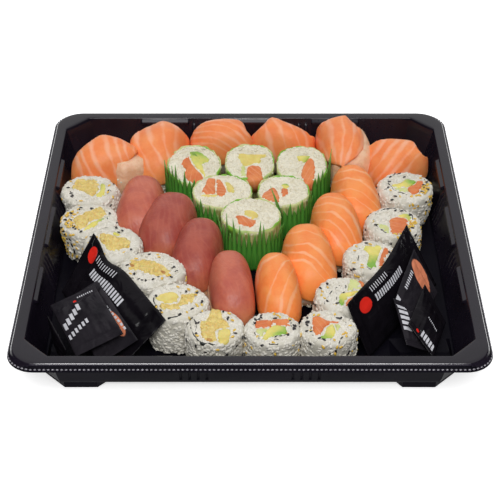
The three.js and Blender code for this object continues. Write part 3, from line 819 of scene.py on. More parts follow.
# Rolls, by the middle of the top face, its height and the radius. Filling outlines are round that middle.
# lean is how far the top stands over from the foot, bulge an angle and the extra reach there, and square
# flattens four sides. black and golden set how many seeds there are.
makiRolls = [
    {"at": (-41.1, 74.9), "top": 34.6, "tilt": 0.2, "radius": 19.6, "seed": 3, "fillings": [
        ("salmon", [(-4.4, 8.6), (-1.7, 1.7), (1.4, -3.7), (5.6, -9), (8.5, -18), (4, -21), (-1, -19.5),
            (-6.3, -14.5), (-7.5, -10), (-6, -5), (-9.4, 0), (-8, 5)]),
        ("avocado", [(-4, 13), (2, 14), (8, 10), (11.5, 5), (9, 1), (7, 1), (7, -3), (8.5, -9), (8.5, -14),
            (6, -9), (2, -3.5), (-1.5, 2), (-4, 8)], (0.3, 0.8)),
        ("herb", [(-3.6, 12), (-0.5, 13), (3.5, 8), (7.6, 2), (6.3, 1.4), (2, 5.5), (-2, 9.5)])]},
    {"at": (-0.2, 78.3), "top": 34.6, "tilt": 0.2, "radius": 19.2, "square": 0.07, "seed": 5, "fillings": [
        ("yellow", [(-8.6, 8), (0, 8.4), (8, 8), (12.5, 8.6), (13, 5.5), (9, 4), (7.5, -1.4), (1.4, -2.5),
            (-2.5, -5), (-7, -1.4)]),
        ("cucumber", [(-7, -4.5), (-3, -4.5), (-3, -20), (-6, -19.4)]),
        ("salmon", [(-2, -6), (1.4, -3.2), (7.5, -4.5), (9, -10), (9.5, -17.5), (5, -20), (-1.7, -20),
            (-2.6, -12)])]},
    {"at": (38, 74.9), "top": 34.8, "tilt": 0.2, "radius": 19.5, "square": 0.06, "seed": 8, "fillings": [
        ("avocado", [(-4, 8.6), (2, 9.4), (6.8, 8.6), (6, 5.5), (2, 1.7), (-2.5, 4)], (0.8, -0.5)),
        ("salmon", [(5.6, 6), (9, 4), (10, -3), (9.5, -10.6), (8, -19), (1, -20), (-1, -12), (0, -4),
            (3, 2.5)])]},
    {"at": (-19.8, 41), "top": 34, "radius": 21.2, "seed": 13, "fillings": [
        ("salmon", [(-11, 15.5), (-5.4, 15.5), (-5.1, 8.6), (-5.3, -3.3), (-14, -3.3), (-14.4, 3),
            (-12.5, 8.6)]),
        ("salmon", [(-4.6, 15), (-1, 14), (1, 8.6), (3.3, -0.6), (2, -5), (-1, -7.5), (-4, -5), (-4.6, 5)]),
        ("yellow", [(1.4, 11.7), (5, 11), (8, 6.3), (9, 1), (7.5, -3.3), (4.5, -1.4), (2.5, 5)]),
        ("yellow", [(-14, -4.5), (-3.4, -4.6), (-3.4, -6.6), (-15, -7.6)])]},
    {"at": (23.9, 40.3), "top": 35, "radius": 19.2, "square": 0.05, "seed": 21, "fillings": [
        ("salmon", [(-9.4, 3.2), (-5.5, 2.5), (-3, -6), (-3, -15), (-5.5, -17), (-11, -13.5), (-15.8, -9.5),
            (-15.2, -4.5), (-11.7, 0)]),
        ("salmon", [(-1.3, 3.2), (3.3, 1.7), (3.7, -4.5), (0.6, -7.5), (-1.7, -6.8)]),
        ("avocado", [(-1.7, 7.8), (3.3, 8.6), (4.5, 4.8), (2, 1.9), (-1.3, 3.4)], (0.2, 0.9))]},
    {"at": (0.6, 4.2), "top": 39, "radius": 20.6, "seed": 34, "fillings": [
        ("yellow", [(-4.8, 5.5), (1.4, 5.5), (5.2, 1), (3.7, -5.2), (0, -4.2), (-4, -0.4)]),
        ("salmon", [(-11, -1.4), (-5.5, -0.6), (-1, -4.2), (4, -6.8), (3, -12), (-1, -16), (-3, -13),
            (-8.6, -11.4), (-9.4, -5.2)])]},
]
leftRolls = [
    {"at": (-116.1, 44.1), "top": 33, "radius": 20.5, "lean": (-7.5, 0), "seed": 11, "black": 10,
     "golden": 5, "fillings": [
        ("omelette", [(-12, 3), (-11, 9), (-9, 14), (-2, 14.5), (5, 13), (7.5, 8), (7.5, 0), (4, -6.5),
            (2, -7), (-4, -2)]),
        ("avocado", [(7.8, 10.5), (12, 7), (12.5, 0), (12, -8), (5, -7), (7.7, -1), (7.9, 6)],
            (-0.8, 0.3))],
     "noriLines": [[(-13, -2), (-12, -6), (-9, -12), (-7, -14)]]},
    {"at": (-112.1, 7.3), "top": 33, "radius": 21, "lean": (-4, 0), "seed": 12, "black": 16, "golden": 46,
     "fillings": [
        ("omelette", [(-12, 1), (-5, 8), (4, 15), (9, 13), (12, 6), (9.4, 3), (6, 1), (1, -2), (-3, -10),
            (-6, -10)]),
        ("avocado", [(12.4, 5), (13, 4), (8.5, -1.5), (5, -7), (-2, -14), (-3.4, -11.5), (1, -3), (6, 0.4),
            (9.6, 2.6)], (0.5, 0.85))],
     "noriLines": [[(-12.5, 7), (-13, 1), (-10, -6), (-5, -13)], [(12, 3), (13.5, 0)]]},
    {"at": (-93.4, -24), "top": 36, "radius": 20.7, "seed": 23, "black": 14, "golden": 16, "fillings": [
        ("omelette", [(-10, 10), (-4, 11), (0, 9), (5, 7), (9, 6.5), (13, 0), (10, -6), (4, -8.5), (-2, -8),
            (-6, -2), (-9, 4)]),
        ("avocado", [(0, 13), (3, 12.5), (6.5, 8.5), (5.4, 7.4), (1, 9.4), (-1, 11)], (0.4, 0.9)),
        ("browned", [(-7, 2.6), (-4.6, 2.8), (-4.4, 0.4), (-6.6, 0.4)])]},
    {"at": (-66, -52.6), "top": 36, "radius": 20.3, "bulge": (-20, 4.5), "seed": 14, "black": 12,
     "golden": 10, "fillings": [
        ("omelette", [(-14.5, 8), (-8, 9.5), (-1, 10.5), (5, 7), (11, 1), (14, -3), (12, -7), (5, -7.5),
            (-2, -5), (-8, -1.5), (-14, -2)]),
        ("browned", [(-14, 4.5), (-11, 4.5), (-9.4, 1.5), (-13, 1)]),
        ("browned", [(6, -2.5), (10, -3), (11, -5.5), (7.5, -6.5)])],
     "noriLines": [[(-15, -9), (-12, -11), (-9, -11)], [(5, -9), (8, -9.5)]]},
    {"at": (-48, -87.4), "top": 36, "radius": 20, "bulge": (-5, 2.5), "seed": 25, "black": 12, "golden": 12,
     "fillings": [
        ("yellow", [(-13, 3.5), (-10, 7.5), (-5, 10), (0, 9.6), (2.5, 5), (1, -0.5), (-4, -2.4), (-9, 0)]),
        ("omelette", [(2.6, 9), (5, 7.5), (11.5, 9), (13, 4), (10.5, -1.5), (5, -3.5), (3, -7.5),
            (-3, -8.5), (-8, -7.5), (-10, -4), (-8.5, -0.6), (-4, -3), (1.6, -1), (3.2, 4.5)]),
        ("browned", [(3.6, 4.6), (5.2, 5), (5.4, 2.4), (3.8, 2)])],
     "noriLines": [[(-13.8, 5), (-13.5, 0), (-12, -6), (-10, -9.5)], [(5, -14), (1, -16.5), (-4, -17.5)]]},
    {"at": (-21.9, -113.6), "top": 36, "radius": 18.8, "lean": (0, -4.5), "seed": 16, "black": 14,
     "golden": 4, "fillings": [
        ("omelette", [(-3, 17), (0.5, 18), (3.5, 16), (5.5, 9), (8.5, 4.5), (9.5, 0), (1.4, -1.4), (1, -8),
            (2, -14), (-4, -15), (-8, -11), (-9.5, -3), (-9.5, 7), (-6, 8)]),
        ("yellow", [(2, -1.8), (9.5, -1.2), (10, -10), (8, -15.6), (3, -16), (1.6, -9)]),
        ("browned", [(-5.5, -11), (-1.5, -11.6), (-1.5, -14.4), (-5, -14.4)])],
     "noriLines": [[(-16, 8), (-15.5, 2), (-14.5, -4), (-12, -10), (-9, -14)],
                   [(-13, 7), (-12, 1), (-11.5, -4)], [(-9, -15), (-4, -16.4), (1, -16.6)]]},
]
rightRolls = [
    {"at": (111.9, 46.6), "top": 34, "radius": 20.5, "lean": (3.5, 0), "seed": 31, "black": 10,
     "golden": 34, "fillings": [
        ("avocado", [(-9.6, 4), (-4, 5.8), (0.8, 10.8), (4, 11), (8.3, 8.3), (6.7, 4.4), (1.7, 0.8),
            (-4, -0.4), (-8.3, 0.2)], (0.75, 0.65)),
        ("cucumber", [(-8.3, -0.4), (0.8, 0), (1.4, -6.4), (-2.5, -6.2), (-6.7, -3.6)]),
        ("salmon", [(8.6, 8.3), (13, 7.5), (13.3, 4), (10.8, -1.7), (8.3, -6.7), (4, -8.7), (1.7, -6.2),
            (1.6, 0.2), (7, 4.6)])],
     "noriLines": [[(-12.3, 5), (-11.5, 10), (-8, 14.5), (-2, 17)],
                   [(-12.3, 5), (-10, 0), (-7, -5), (0, -9)], [(14.3, 8), (14, 2), (11, -4), (8, -8.5)]]},
    {"at": (99.1, 2.4), "top": 34, "radius": 19.8, "seed": 42, "black": 13, "golden": 22, "fillings": [
        ("salmon", [(-2.6, 2), (-1, 5), (3, 7), (9, 5.4), (11, 2), (9.5, -4), (6, -13.5), (-2.5, -14)]),
        ("cucumber", [(-12, -1), (-3.2, -2.6), (-3.2, -14), (-5.5, -12.6)]),
        ("avocado", [(2.6, 8), (6, 10.5), (10.6, 10.6), (14, 6.5), (13, 1.5), (11, 2), (9.6, 6), (5, 7.6)],
            (0.8, 0.6))],
     "noriLines": [[(-12.6, 1), (-13, 7), (-9, 13), (-2, 16), (7, 15), (13.5, 9), (14, 3)],
                   [(-12.8, -1.5), (-9, -8), (-5, -13.6)]]},
    {"at": (81.8, -37), "top": 34, "radius": 19.3, "seed": 33, "black": 13, "golden": 10, "fillings": [
        ("avocado", [(-6.5, 11.5), (-2, 13), (3, 13), (7.8, 12), (6.6, 7), (4.6, 0), (2.8, -7), (2, -12.5),
            (-3, -12.5), (-4.6, -8), (-2.6, 0), (-3, 5)], (0.0, -1.0)),
        ("salmon", [(8.4, 10.4), (11, 9.4), (12.2, 5), (9, -2), (7, -9), (4, -12.4), (2.8, -11.8), (4, -6),
            (5.4, 0), (7.4, 7)])],
     "noriLines": [[(-7.4, 9), (-8.6, 3), (-9.6, -3)], [(-4.6, -11.4), (-2.4, -13.8), (0, -13)]]},
    {"at": (60.2, -77), "top": 34, "radius": 18.6, "seed": 44, "black": 14, "golden": 8, "fillings": [
        ("cucumber", [(5.8, 15.5), (10.4, 13.8), (12.2, 5.5), (8.3, 4.2), (3, 3.6), (3.8, 9.7)]),
        ("salmon", [(11, 13.6), (14.6, 10.5), (14.6, 5.5), (12.8, 5)]),
        ("avocado", [(10.8, 4.2), (3.3, 2.4), (-2.5, -0.3), (-3.4, -7.8), (-3, -12), (0, -12.8), (1.4, -7),
            (5, -2.4), (10.4, 1.6)], (-0.3, -0.95)),
        ("salmon", [(0.8, -12), (2, -6.6), (6.2, -2.4), (10.8, 0.8), (9, -3), (5.4, -8), (2.8, -12)])],
     "noriLines": [[(-2, 8.6), (-6, 4.5), (-9.5, -1.5), (-11.5, -6), (-12.5, -11)],
                   [(1.8, 9), (2.2, 4), (-0.6, 1)], [(-4.2, -4), (-4.6, -9), (-3.6, -12.8)]]},
    {"at": (48.9, -111.9), "top": 35, "radius": 18.6, "lean": (0, -3), "seed": 35, "black": 12,
     "golden": 12, "fillings": [
        ("salmon", [(-9.7, 9.7), (-4.7, 10.5), (0.3, 7.2), (7.8, 5.8), (8.6, 3.2), (3.7, 4.4), (-0.7, 1.6),
            (-2.4, -2), (-4.7, -7.4), (-8.8, -7.8), (-10, 0.5)]),
        ("avocado", [(-0.3, 1.2), (3.2, 3.8), (4.2, 1), (5, -6), (2.6, -10.4), (-1, -12), (-5.5, -11.6),
            (-6.4, -8.6), (-3.4, -7.4), (-2, -2)], (-0.55, -0.8)),
        ("cucumber", [(3.8, 3.8), (8, 2.6), (7.8, -0.6), (5.4, -5), (4.8, 0)])],
     "noriLines": [[(-10.6, 4), (-10.6, -4), (-9, -8.6)], [(8.6, -10), (6.6, -14), (6, -16)],
                   [(11, 4), (13.4, 5)], [(-5.6, -12.4), (-2.6, -13.6), (1.4, -11.8)]]},
    {"at": (14, -115.1), "top": 36, "radius": 18, "lean": (0, -4.5), "seed": 46, "black": 12, "golden": 14,
     "fillings": [
        ("salmon", [(-11, 7.6), (-6, 9.4), (-0.6, 9), (0.4, 5), (-2, 1.6), (-10.6, 1.4)]),
        ("salmon", [(-0.2, 9.6), (8, 10), (11.2, 8), (11, 1.8), (8, 3), (1, 5)]),
        ("cucumber", [(-10.6, 0.8), (-2.6, 1), (-5, -4), (-7.6, -9), (-10, -4)]),
        ("avocado", [(0.8, 4.6), (6, 3.6), (9, 2.4), (8.6, -4.4), (1, -6.6), (-2.4, -9), (-3.4, -12),
            (-7, -11.6), (-6, -6), (-3, 0.6)], (0.9, -0.5))],
     "noriLines": [[(-11.6, 6), (-11.6, 0), (-10.4, -6), (-8, -10.4)], [(1.4, -7.4), (5.4, -6), (9.4, -5)],
                   [(-2.4, -15.4), (3.4, -15.4)], [(11.8, 7), (11.6, 1.4)]]},
]
allRolls = makiRolls + leftRolls + rightRolls
nameAll(makiRolls, "maki", "maki", "maki_rice")
nameAll(leftRolls, "leftRoll", "uramaki_left", "uramaki_rice")
nameAll(rightRolls, "rightRoll", "uramaki_right", "uramaki_rice")


def rollMiddle(roll, share):
    leanX, leanY = roll.get("lean", (0, 0))
    return roll["at"][0] + leanX * (share - 1), roll["at"][1] + leanY * (share - 1)


# How far a roll reaches in one direction, flattened where a neighbour presses on it.
def rollReach(roll, share, angle, radius):
    x, y = rollMiddle(roll, share)
    towards, extra = roll.get("bulge", (0, 0))
    reach = radius + extra * max(0.0, cos(angle - radians(towards))) ** 3
    reach *= 1 - roll.get("square", 0) * cos(2 * angle) ** 2
    for other in allRolls:
        if other is roll:
            continue
        ox, oy = rollMiddle(other, share)
        apart = hypot(ox - x, oy - y)
        if apart > roll["radius"] + other["radius"] + 4:
            continue
        facing = cos(angle - atan2(oy - y, ox - x))
        room = apart * roll["radius"] / (roll["radius"] + other["radius"]) - 0.1
        if facing > 0.1:
            reach = min(reach, room / facing)
    return reach


# Share of the height and share of the radius, from the bottom to the edge of the top face.
rollProfile = [(0, 0.9), (0.04, 0.96), (0.2, 0.99), (0.45, 1.0), (0.75, 0.99), (0.9, 0.965), (0.96, 0.93),
               (0.99, 0.88), (1.0, 0.81)]


# The value of a line of points, given in order, at x.
def heightAt(line, x):
    for (ax, ay), (bx, by) in zip(line, line[1:]):
        if x <= bx:
            return lerp(ay, by, ramp(ax, bx, x))
    return line[-1][1]


# The point of a roll at reach r, on a roll that may tilt more and more towards its top.
def aroundRoll(roll, share, angle, r, z):
    x, y = rollMiddle(roll, share)
    tilt = roll.get("tilt", 0) * r * sin(angle) * smoothStep(0.2, 1.0, share)
    return Vector((x + r * cos(angle), y + r * sin(angle), z + tilt))


def rollPoint(roll, share, angle):
    lump = 1 + 0.035 * rough(3 * cos(angle), 3 * sin(angle), 3 * share, 1.0, roll["seed"])
    width = heightAt(rollProfile, share)
    if roll in makiRolls:
        width = lerp(width, 0.98, 0.65)
    r = rollReach(roll, share, angle, roll["radius"] * width * lump)
    return aroundRoll(roll, share, angle, r, foodFloor + share * (roll["top"] - foodFloor))


# Height of the rice in the dished top face.
def faceHeight(roll, dx, dy):
    edge, depth = (0.92, 0.4) if roll in makiRolls else (0.81, 1.0)
    dish = depth * (1 - smoothStep(0.72, 1.0, hypot(dx, dy) / (roll["radius"] * edge)))
    return roll["top"] + roll.get("tilt", 0) * dy - dish + 0.35 * rough(dx, dy, 0, 3.0, roll["seed"])


# A point raised over the top face, at an offset from the roll's middle.
def overFace(roll, dx, dy, up):
    return Vector((roll["at"][0] + dx, roll["at"][1] + dy, faceHeight(roll, dx, dy) + up))


# The offset of a point in the top face, by its share of the way out to the edge.
def faceOffset(roll, angle, share):
    edge = rollPoint(roll, 1.0, angle)
    return (edge.x - roll["at"][0]) * share, (edge.y - roll["at"][1]) * share


def rollCore(roll, material):
    bm = bmesh.new()
    last, ringsIn = len(rollProfile) - 1, 6

    def at(u, v):
        angle = 2 * pi * u
        k = v * (last + ringsIn)
        if k < last + 1:
            return pressedBack(rollPoint(roll, rollProfile[min(round(k), last)][0], angle))
        return pressedBack(overFace(roll, *faceOffset(roll, angle, 1 - (k - last) / ringsIn), -0.3))

    mapped(bm, 56, last + ringsIn, at)
    bmesh.ops.holes_fill(bm, edges=openEdges(bm))
    finishLayer(bm, roll, "Rice", material)


# Rice grains
bm = bmesh.new()
bmesh.ops.create_uvsphere(bm, u_segments=6, v_segments=4, radius=1)
bmesh.ops.rotate(bm, verts=bm.verts, cent=(0, 0, 0), matrix=Matrix.Rotation(pi / 2, 3, "Y"))
for vert in bm.verts:
    vert.co.z -= 0.25 * vert.co.x ** 2
    vert.co.y *= 1 - 0.12 * vert.co.x
grain = meshFrom("grain", bm)
grainSize = (2.1, 1.2, 1.0)
grainCounts = {"face": 300, "makiEdge": 80, "rollSide": 620, "ball": 190}


# A spot is a point and the way out of the surface there.
def scatterGrains(item, spots, material):
    turns = []
    for point, normal in spots:
        tilt = np.array([random.gauss(0, 0.3) for _ in range(3)])
        turns.append(turnOn(np.array(normal) + tilt, random.uniform(0, 2 * pi)))
    sizes = [[s * random.uniform(0.82, 1.12) for s in grainSize] for _ in spots]
    points = [point for point, normal in spots]
    joinedCopies(item["name"] + "Grains", grain, points, turns, sizes, [item["node"]], material, item["slot"])


def sideSpots(roll, count, low):
    spots = []
    for i in range(count):
        share = lerp(low, 1.0, (i + random.random()) / count)
        angle = random.uniform(0, 2 * pi)
        point = rollPoint(roll, share, angle)
        lift = 1.2 * smoothStep(0.86, 1.0, share)
        normal = (cos(angle), sin(angle), lift)
        spots.append((point - 0.4 * Vector(normal).normalized(), normal))
    return spots


def topSpots(roll, count):
    spots = []
    outlines = [filling[1] for filling in roll["fillings"]]
    while len(spots) < count:
        angle, share = random.uniform(0, 2 * pi), sqrt(random.random()) * 0.98
        dx, dy = faceOffset(roll, angle, share)
        if any(inside(dx, dy, outline) and edgeDistance(dx, dy, outline) > 0.3 for outline in outlines):
            count -= 0.6
            continue
        spots.append((overFace(roll, dx, dy, -0.5), (0.2 * cos(angle), 0.2 * sin(angle), 1)))
    return spots


# One filling: an even patch of triangles inside its outline, domed, with its edge sunk in the rice.
fillingKinds = {
    "salmon": {"material": salmonCut, "rise": 0.9, "lumps": 0.35, "size": 5.0, "wave": 0.01},
    "avocado": {"material": avocado, "rise": 0.7, "lumps": 0.3, "size": 5.0, "wave": 0.01},
    "herb": {"material": herbGreen, "rise": 1.0, "lumps": 0.4, "size": 2.5, "wave": 0.01},
    "yellow": {"material": omeletteSmooth, "rise": 0.8, "lumps": 0.4, "size": 5.0, "wave": 0.01},
    "omelette": {"material": omelette, "rise": 0.9, "lumps": 1.1, "size": 2.6, "wave": 0.025},
    "browned": {"material": browned, "rise": 1.7, "lumps": 0.8, "size": 2.0, "wave": 0.025},
    "cucumber": {"material": cucumberFlesh, "rise": 0.5, "lumps": 0.25, "size": 5.0, "wave": 0.01},
}
fillingShape = {"spacing": 0.85, "inset": 0.4, "slope": 0.05, "sink": 0.7, "skirt": 1.6, "overhang": 9}


def addFilling(roll, index, kind, outline, greenSide=None):
    settings = fillingKinds[kind]
    seed = roll["seed"] + index
    wavy = []
    for x, y in curveThrough(outline, 4, closed=True):
        grow = 1 + settings["wave"] * rough(x, y, 0, 1.6, seed)
        wavy.append((x * grow, y * grow))
    xs, ys = [p[0] for p in wavy], [p[1] for p in wavy]
    spacing = fillingShape["spacing"]
    inner = []
    for i in range(int((max(xs) - min(xs)) / spacing) + 1):
        for j in range(int((max(ys) - min(ys)) / spacing) + 1):
            x = min(xs) + (i + 0.5 * (j % 2)) * spacing
            y = min(ys) + j * spacing
            if inside(x, y, wavy) and edgeDistance(x, y, wavy) > fillingShape["inset"]:
                inner.append((x, y))
    count = len(wavy)
    ring = [(i, (i + 1) % count) for i in range(count)]
    points, _, triangles, *_ = delaunay_2d_cdt([Vector(p) for p in wavy + inner], ring, [], 1, 1e-4)
    bm = bmesh.new()
    uvLayer = uvLayerOf(bm)
    greenLayer = bm.verts.layers.float.new("green")
    middle = (sum(xs) / count, sum(ys) / count)
    span = max(hypot(x - middle[0], y - middle[1]) for x, y in wavy)
    slopeX, slopeY = (fillingShape["slope"] * rough(x, y, 0, 1.7) for x, y in ((seed, 0), (0, seed)))
    verts = []
    for p in points:
        depth = edgeDistance(p.x, p.y, wavy)
        dx, dy = p.x - middle[0], p.y - middle[1]
        rise = settings["rise"] * (1 - exp(-depth / 0.7)) - fillingShape["sink"] * exp(-depth / 0.35)
        lumps = settings["lumps"] * (rough(p.x, p.y, 0, settings["size"], seed)
                                     + 0.4 * rough(p.x, p.y, 3, 0.45 * settings["size"], seed))
        up = rise + slopeX * dx + slopeY * dy + lumps * clamp(depth / 0.8)
        vert = bm.verts.new(overFace(roll, p.x, p.y, up))
        if greenSide:
            vert[greenLayer] = clamp(0.5 + 0.75 * (dx * greenSide[0] + dy * greenSide[1]) / span)
        verts.append(vert)
    for corners in triangles:
        face = bm.faces.new([verts[i] for i in corners])
        for loop in face.loops:
            x, y = loop.vert.co.x - roll["at"][0], loop.vert.co.y - roll["at"][1]
            loop[uvLayer].uv = (0.28 * (x * cos(seed) + y * sin(seed)), 0.1 * y)
    skirt = bmesh.ops.extrude_edge_only(bm, edges=openEdges(bm))["geom"]
    low = [item for item in skirt if isinstance(item, bmesh.types.BMVert)]
    drop = fillingShape["overhang" if "tilt" in roll else "skirt"]
    bmesh.ops.translate(bm, verts=low, vec=(0, 0, -drop))
    bmesh.ops.holes_fill(bm, edges=openEdges(bm))
    finishLayer(bm, roll, f"Filling{index + 1}{kind.capitalize()}", settings["material"])


noriSection = [(-0.3, -2.0), (0.3, -2.0), (0.3, 0.35), (-0.3, 0.35)]


# A thin dark sheet that shows on edge in the cut face.
def addNori(roll, index, path):
    line = curveThrough(path, 5)
    count = len(line) - 1
    bm = bmesh.new()

    def at(u, v):
        i = round(u * count)
        before, after = line[max(i - 1, 0)], line[min(i + 1, count)]
        direction = Vector(after - before).normalized()
        out, up = noriSection[round(v * 4) % 4]
        out *= 0.3 + 0.9 * smoothStep(-0.4, 0.5, rough(i, 0, 0, 2.2, roll["seed"] + index))
        out += 0.7 * rough(i, 6, 0, 2.6, roll["seed"] + index)
        x, y = line[i][0] - direction.y * out, line[i][1] + direction.x * out
        return overFace(roll, x, y, up + 1.1 * rough(i, 3, 0, 1.7, index))

    mapped(bm, count, 4, at)
    bmesh.ops.holes_fill(bm, edges=openEdges(bm))
    finishLayer(bm, roll, f"Nori{index + 1}", nori)


# Maki need side grains at the edge of the face alone, because their wrap hides the rest.
for roll in allRolls:
    isMaki = roll in makiRolls
    rollCore(roll, riceWarmShadedBase if isMaki else riceShadedBase)
    spots = topSpots(roll, grainCounts["face"])
    if isMaki:
        spots += sideSpots(roll, grainCounts["makiEdge"], 0.95)
    else:
        spots += sideSpots(roll, grainCounts["rollSide"], 0.02)
    spots = [spot for spot in spots if not throughSachet(spot[0])]
    scatterGrains(roll, spots, riceWarm if isMaki else riceWhite)
    for index, filling in enumerate(roll["fillings"]):
        addFilling(roll, index, *filling)
    for index, path in enumerate(roll.get("noriLines", [])):
        addNori(roll, index, path)
print("rolls made")

# Maki are wrapped in peeled cucumber whose green edge stands a little over the rice.
wrapSection = [(-0.3, 0), (0.3, 0), (0.4, 0.5), (0.5, 0.92), (0.35, 1), (-0.35, 1), (-0.55, 0.92),
               (-0.35, 0.5)]
wrapShape = {"columns": 120, "reach": 0.985, "ruffle": 0.5, "edgeUp": -0.1, "edgeWave": 1.3}
for roll in makiRolls:
    bm = bmesh.new()

    def at(u, v):
        angle = 2 * pi * u
        out, up = wrapSection[round(v * 8) % 8]
        ruffle = rough(7 * cos(angle), 7 * sin(angle), 2 * up, 1.0, roll["seed"] + 5) * wrapShape["ruffle"]
        r = rollReach(roll, up, angle, roll["radius"] * wrapShape["reach"]) + out + ruffle * up
        wave = wrapShape["edgeWave"] * rough(4 * cos(angle), 4 * sin(angle), 0, 1.0, roll["seed"])
        high = roll["top"] - foodFloor + wrapShape["edgeUp"] + wave + ruffle
        return aroundRoll(roll, up, angle, r, foodFloor + up * high)

    mapped(bm, wrapShape["columns"], 8, at, lambda u, v: (u, wrapSection[round(v * 8) % 8][1]))
    finishLayer(bm, roll, "Wrap", cucumberWrap)
print("wraps made")

# Sesame: flat seeds, pointed at one end.
bm = bmesh.new()
bmesh.ops.create_uvsphere(bm, u_segments=6, v_segments=5, radius=1)
bmesh.ops.rotate(bm, verts=bm.verts, cent=(0, 0, 0), matrix=Matrix.Rotation(pi / 2, 3, "Y"))
for vert in bm.verts:
    vert.co.y *= 1 - 0.35 * vert.co.x
seed = meshFrom("seed", bm)


# Seeds over the whole roll, or gathered on the side it is told to face.
def seedSpots(roll, count, facing=None, low=0.25):
    spots = []
    while len(spots) < count:
        angle = random.uniform(0, 2 * pi) if facing is None else random.gauss(facing, 0.5)
        if random.random() < 0.35:
            dx, dy = faceOffset(roll, angle, sqrt(random.uniform(0.5, 1.0)))
            if not any(inside(dx, dy, filling[1]) for filling in roll["fillings"]):
                spots.append((overFace(roll, dx, dy, 0.7), (0, 0, 1)))
            continue
        share = random.uniform(low, 0.98)
        point = rollPoint(roll, share, angle)
        normal = Vector((cos(angle), sin(angle), 1.2 * smoothStep(0.86, 1.0, share))).normalized()
        if not throughSachet(point):
            spots.append((point + 0.5 * normal, normal))
    return spots


# Where a roll has much golden sesame, most of it and more of the black lie on the outer side.
muchGolden = 15
for group, label, goldenSide, blackSide in ((leftRolls, "Left", pi + 0.4, pi + 0.4),
                                            (rightRolls, "Right", -0.3, 0.0)):
    nodes = [roll["node"] for roll in group]
    for colour, material in (("black", sesameBlack), ("golden", sesameGolden)):
        spots = []
        for roll in group:
            much = roll["golden"] > muchGolden
            if much and colour == "golden":
                spots += seedSpots(roll, roll["golden"] * 2, goldenSide, 0.15)
                spots += seedSpots(roll, 5)
            else:
                spots += seedSpots(roll, roll[colour] * 2)
                if much:
                    spots += seedSpots(roll, int(roll["golden"] * 0.8), blackSide, 0.15)
        turns = [turnOn(normal, random.uniform(0, 2 * pi)) for point, normal in spots]
        sizes = [[1.4 * s, 0.8 * s, 0.4 * s] for s in (random.uniform(0.85, 1.1) for _ in spots)]
        points = [point for point, normal in spots]
        joinedCopies(f"{colour}Sesame{label}", seed, points, turns, sizes, nodes, material, "uramaki_rice")
print("sesame made")

# Nigiri. lines are the pale lines of the slice as seen from the front above, in order across the piece.
# crest is its upper edge from left to right, and the hems are how far it reaches to the sides, by height.
tunaNigiri = [
    {"at": (-77.5, 26), "heading": 5, "length": 61, "width": 34, "top": 44.5},
    {"at": (-57.5, 5.5), "heading": 13, "length": 60, "width": 37, "top": 44.5},
    {"at": (-36, -26.5), "heading": 9, "length": 61, "width": 33, "top": 44.5, "riceShift": (3.6, 0)},
    {"at": (-12, -62.5), "heading": -6, "length": 59, "width": 29.4, "top": 44, "riceShift": (-3.6, 0)},
]
salmonNigiri = [
    {"at": (76, 40), "heading": -8, "length": 60, "width": 33, "top": 44.5,
     "lines": [[(-14, 15.6), (-2, 19), (8, 14), (14, 6)],
              [(-15.6, 4), (-7, 8), (2, 5), (9, -5), (13.5, -15)],
              [(-14, -8), (-5, -5), (2, -9), (10.6, -21)], [(-14, -17), (-2.5, -16), (6, -27)]]},
    {"at": (60.5, 4.5), "heading": -8, "length": 60, "width": 33, "top": 44.5, "riceShift": (-4, 0),
     "riceHeight": 0.6,
     "lines": [[(-12, 17), (-5, 20), (6, 16), (13, 8)],
              [(-15.6, 8), (-7, 12.7), (3.4, 8), (9, -2), (13.5, -16.5), (15, -27)],
              [(-14, 1), (-4, 1.7), (3.4, -8), (9, -22), (12, -34)],
              [(-12.7, -8), (-7, -8), (0.4, -18), (6, -31)], [(-12, -17), (-6, -20), (-1, -32)]]},
    {"at": (40, -33), "heading": -7, "length": 61, "width": 35, "top": 44, "riceShift": (-4, 0),
     "riceHeight": 0.6,
     "lines": [[(-14, 12.7), (-2.5, 17), (7.7, 11), (13.5, 1)],
              [(-14, 0), (-8, 1), (-1, 2), (6, -6), (12, -19)], [(-12, -8), (-4, -8), (3, -15), (9, -28)],
              [(-10, -17), (-4, -16.5), (0.4, -20), (6, -31)]]},
    {"at": (18.5, -65), "heading": -6, "length": 59, "width": 29, "top": 44,
     "lines": [[(-7, 16), (-11, 12.7), (-13.4, -2), (-14, -15)],
              [(10.6, 17), (5, 14), (-1, 1), (-5.4, -15), (-8, -34)],
              [(13, 9), (8, 1), (5, -10), (2, -25), (2.6, -35)], [(14, 0), (12, -12), (7.7, -27)]]},
]
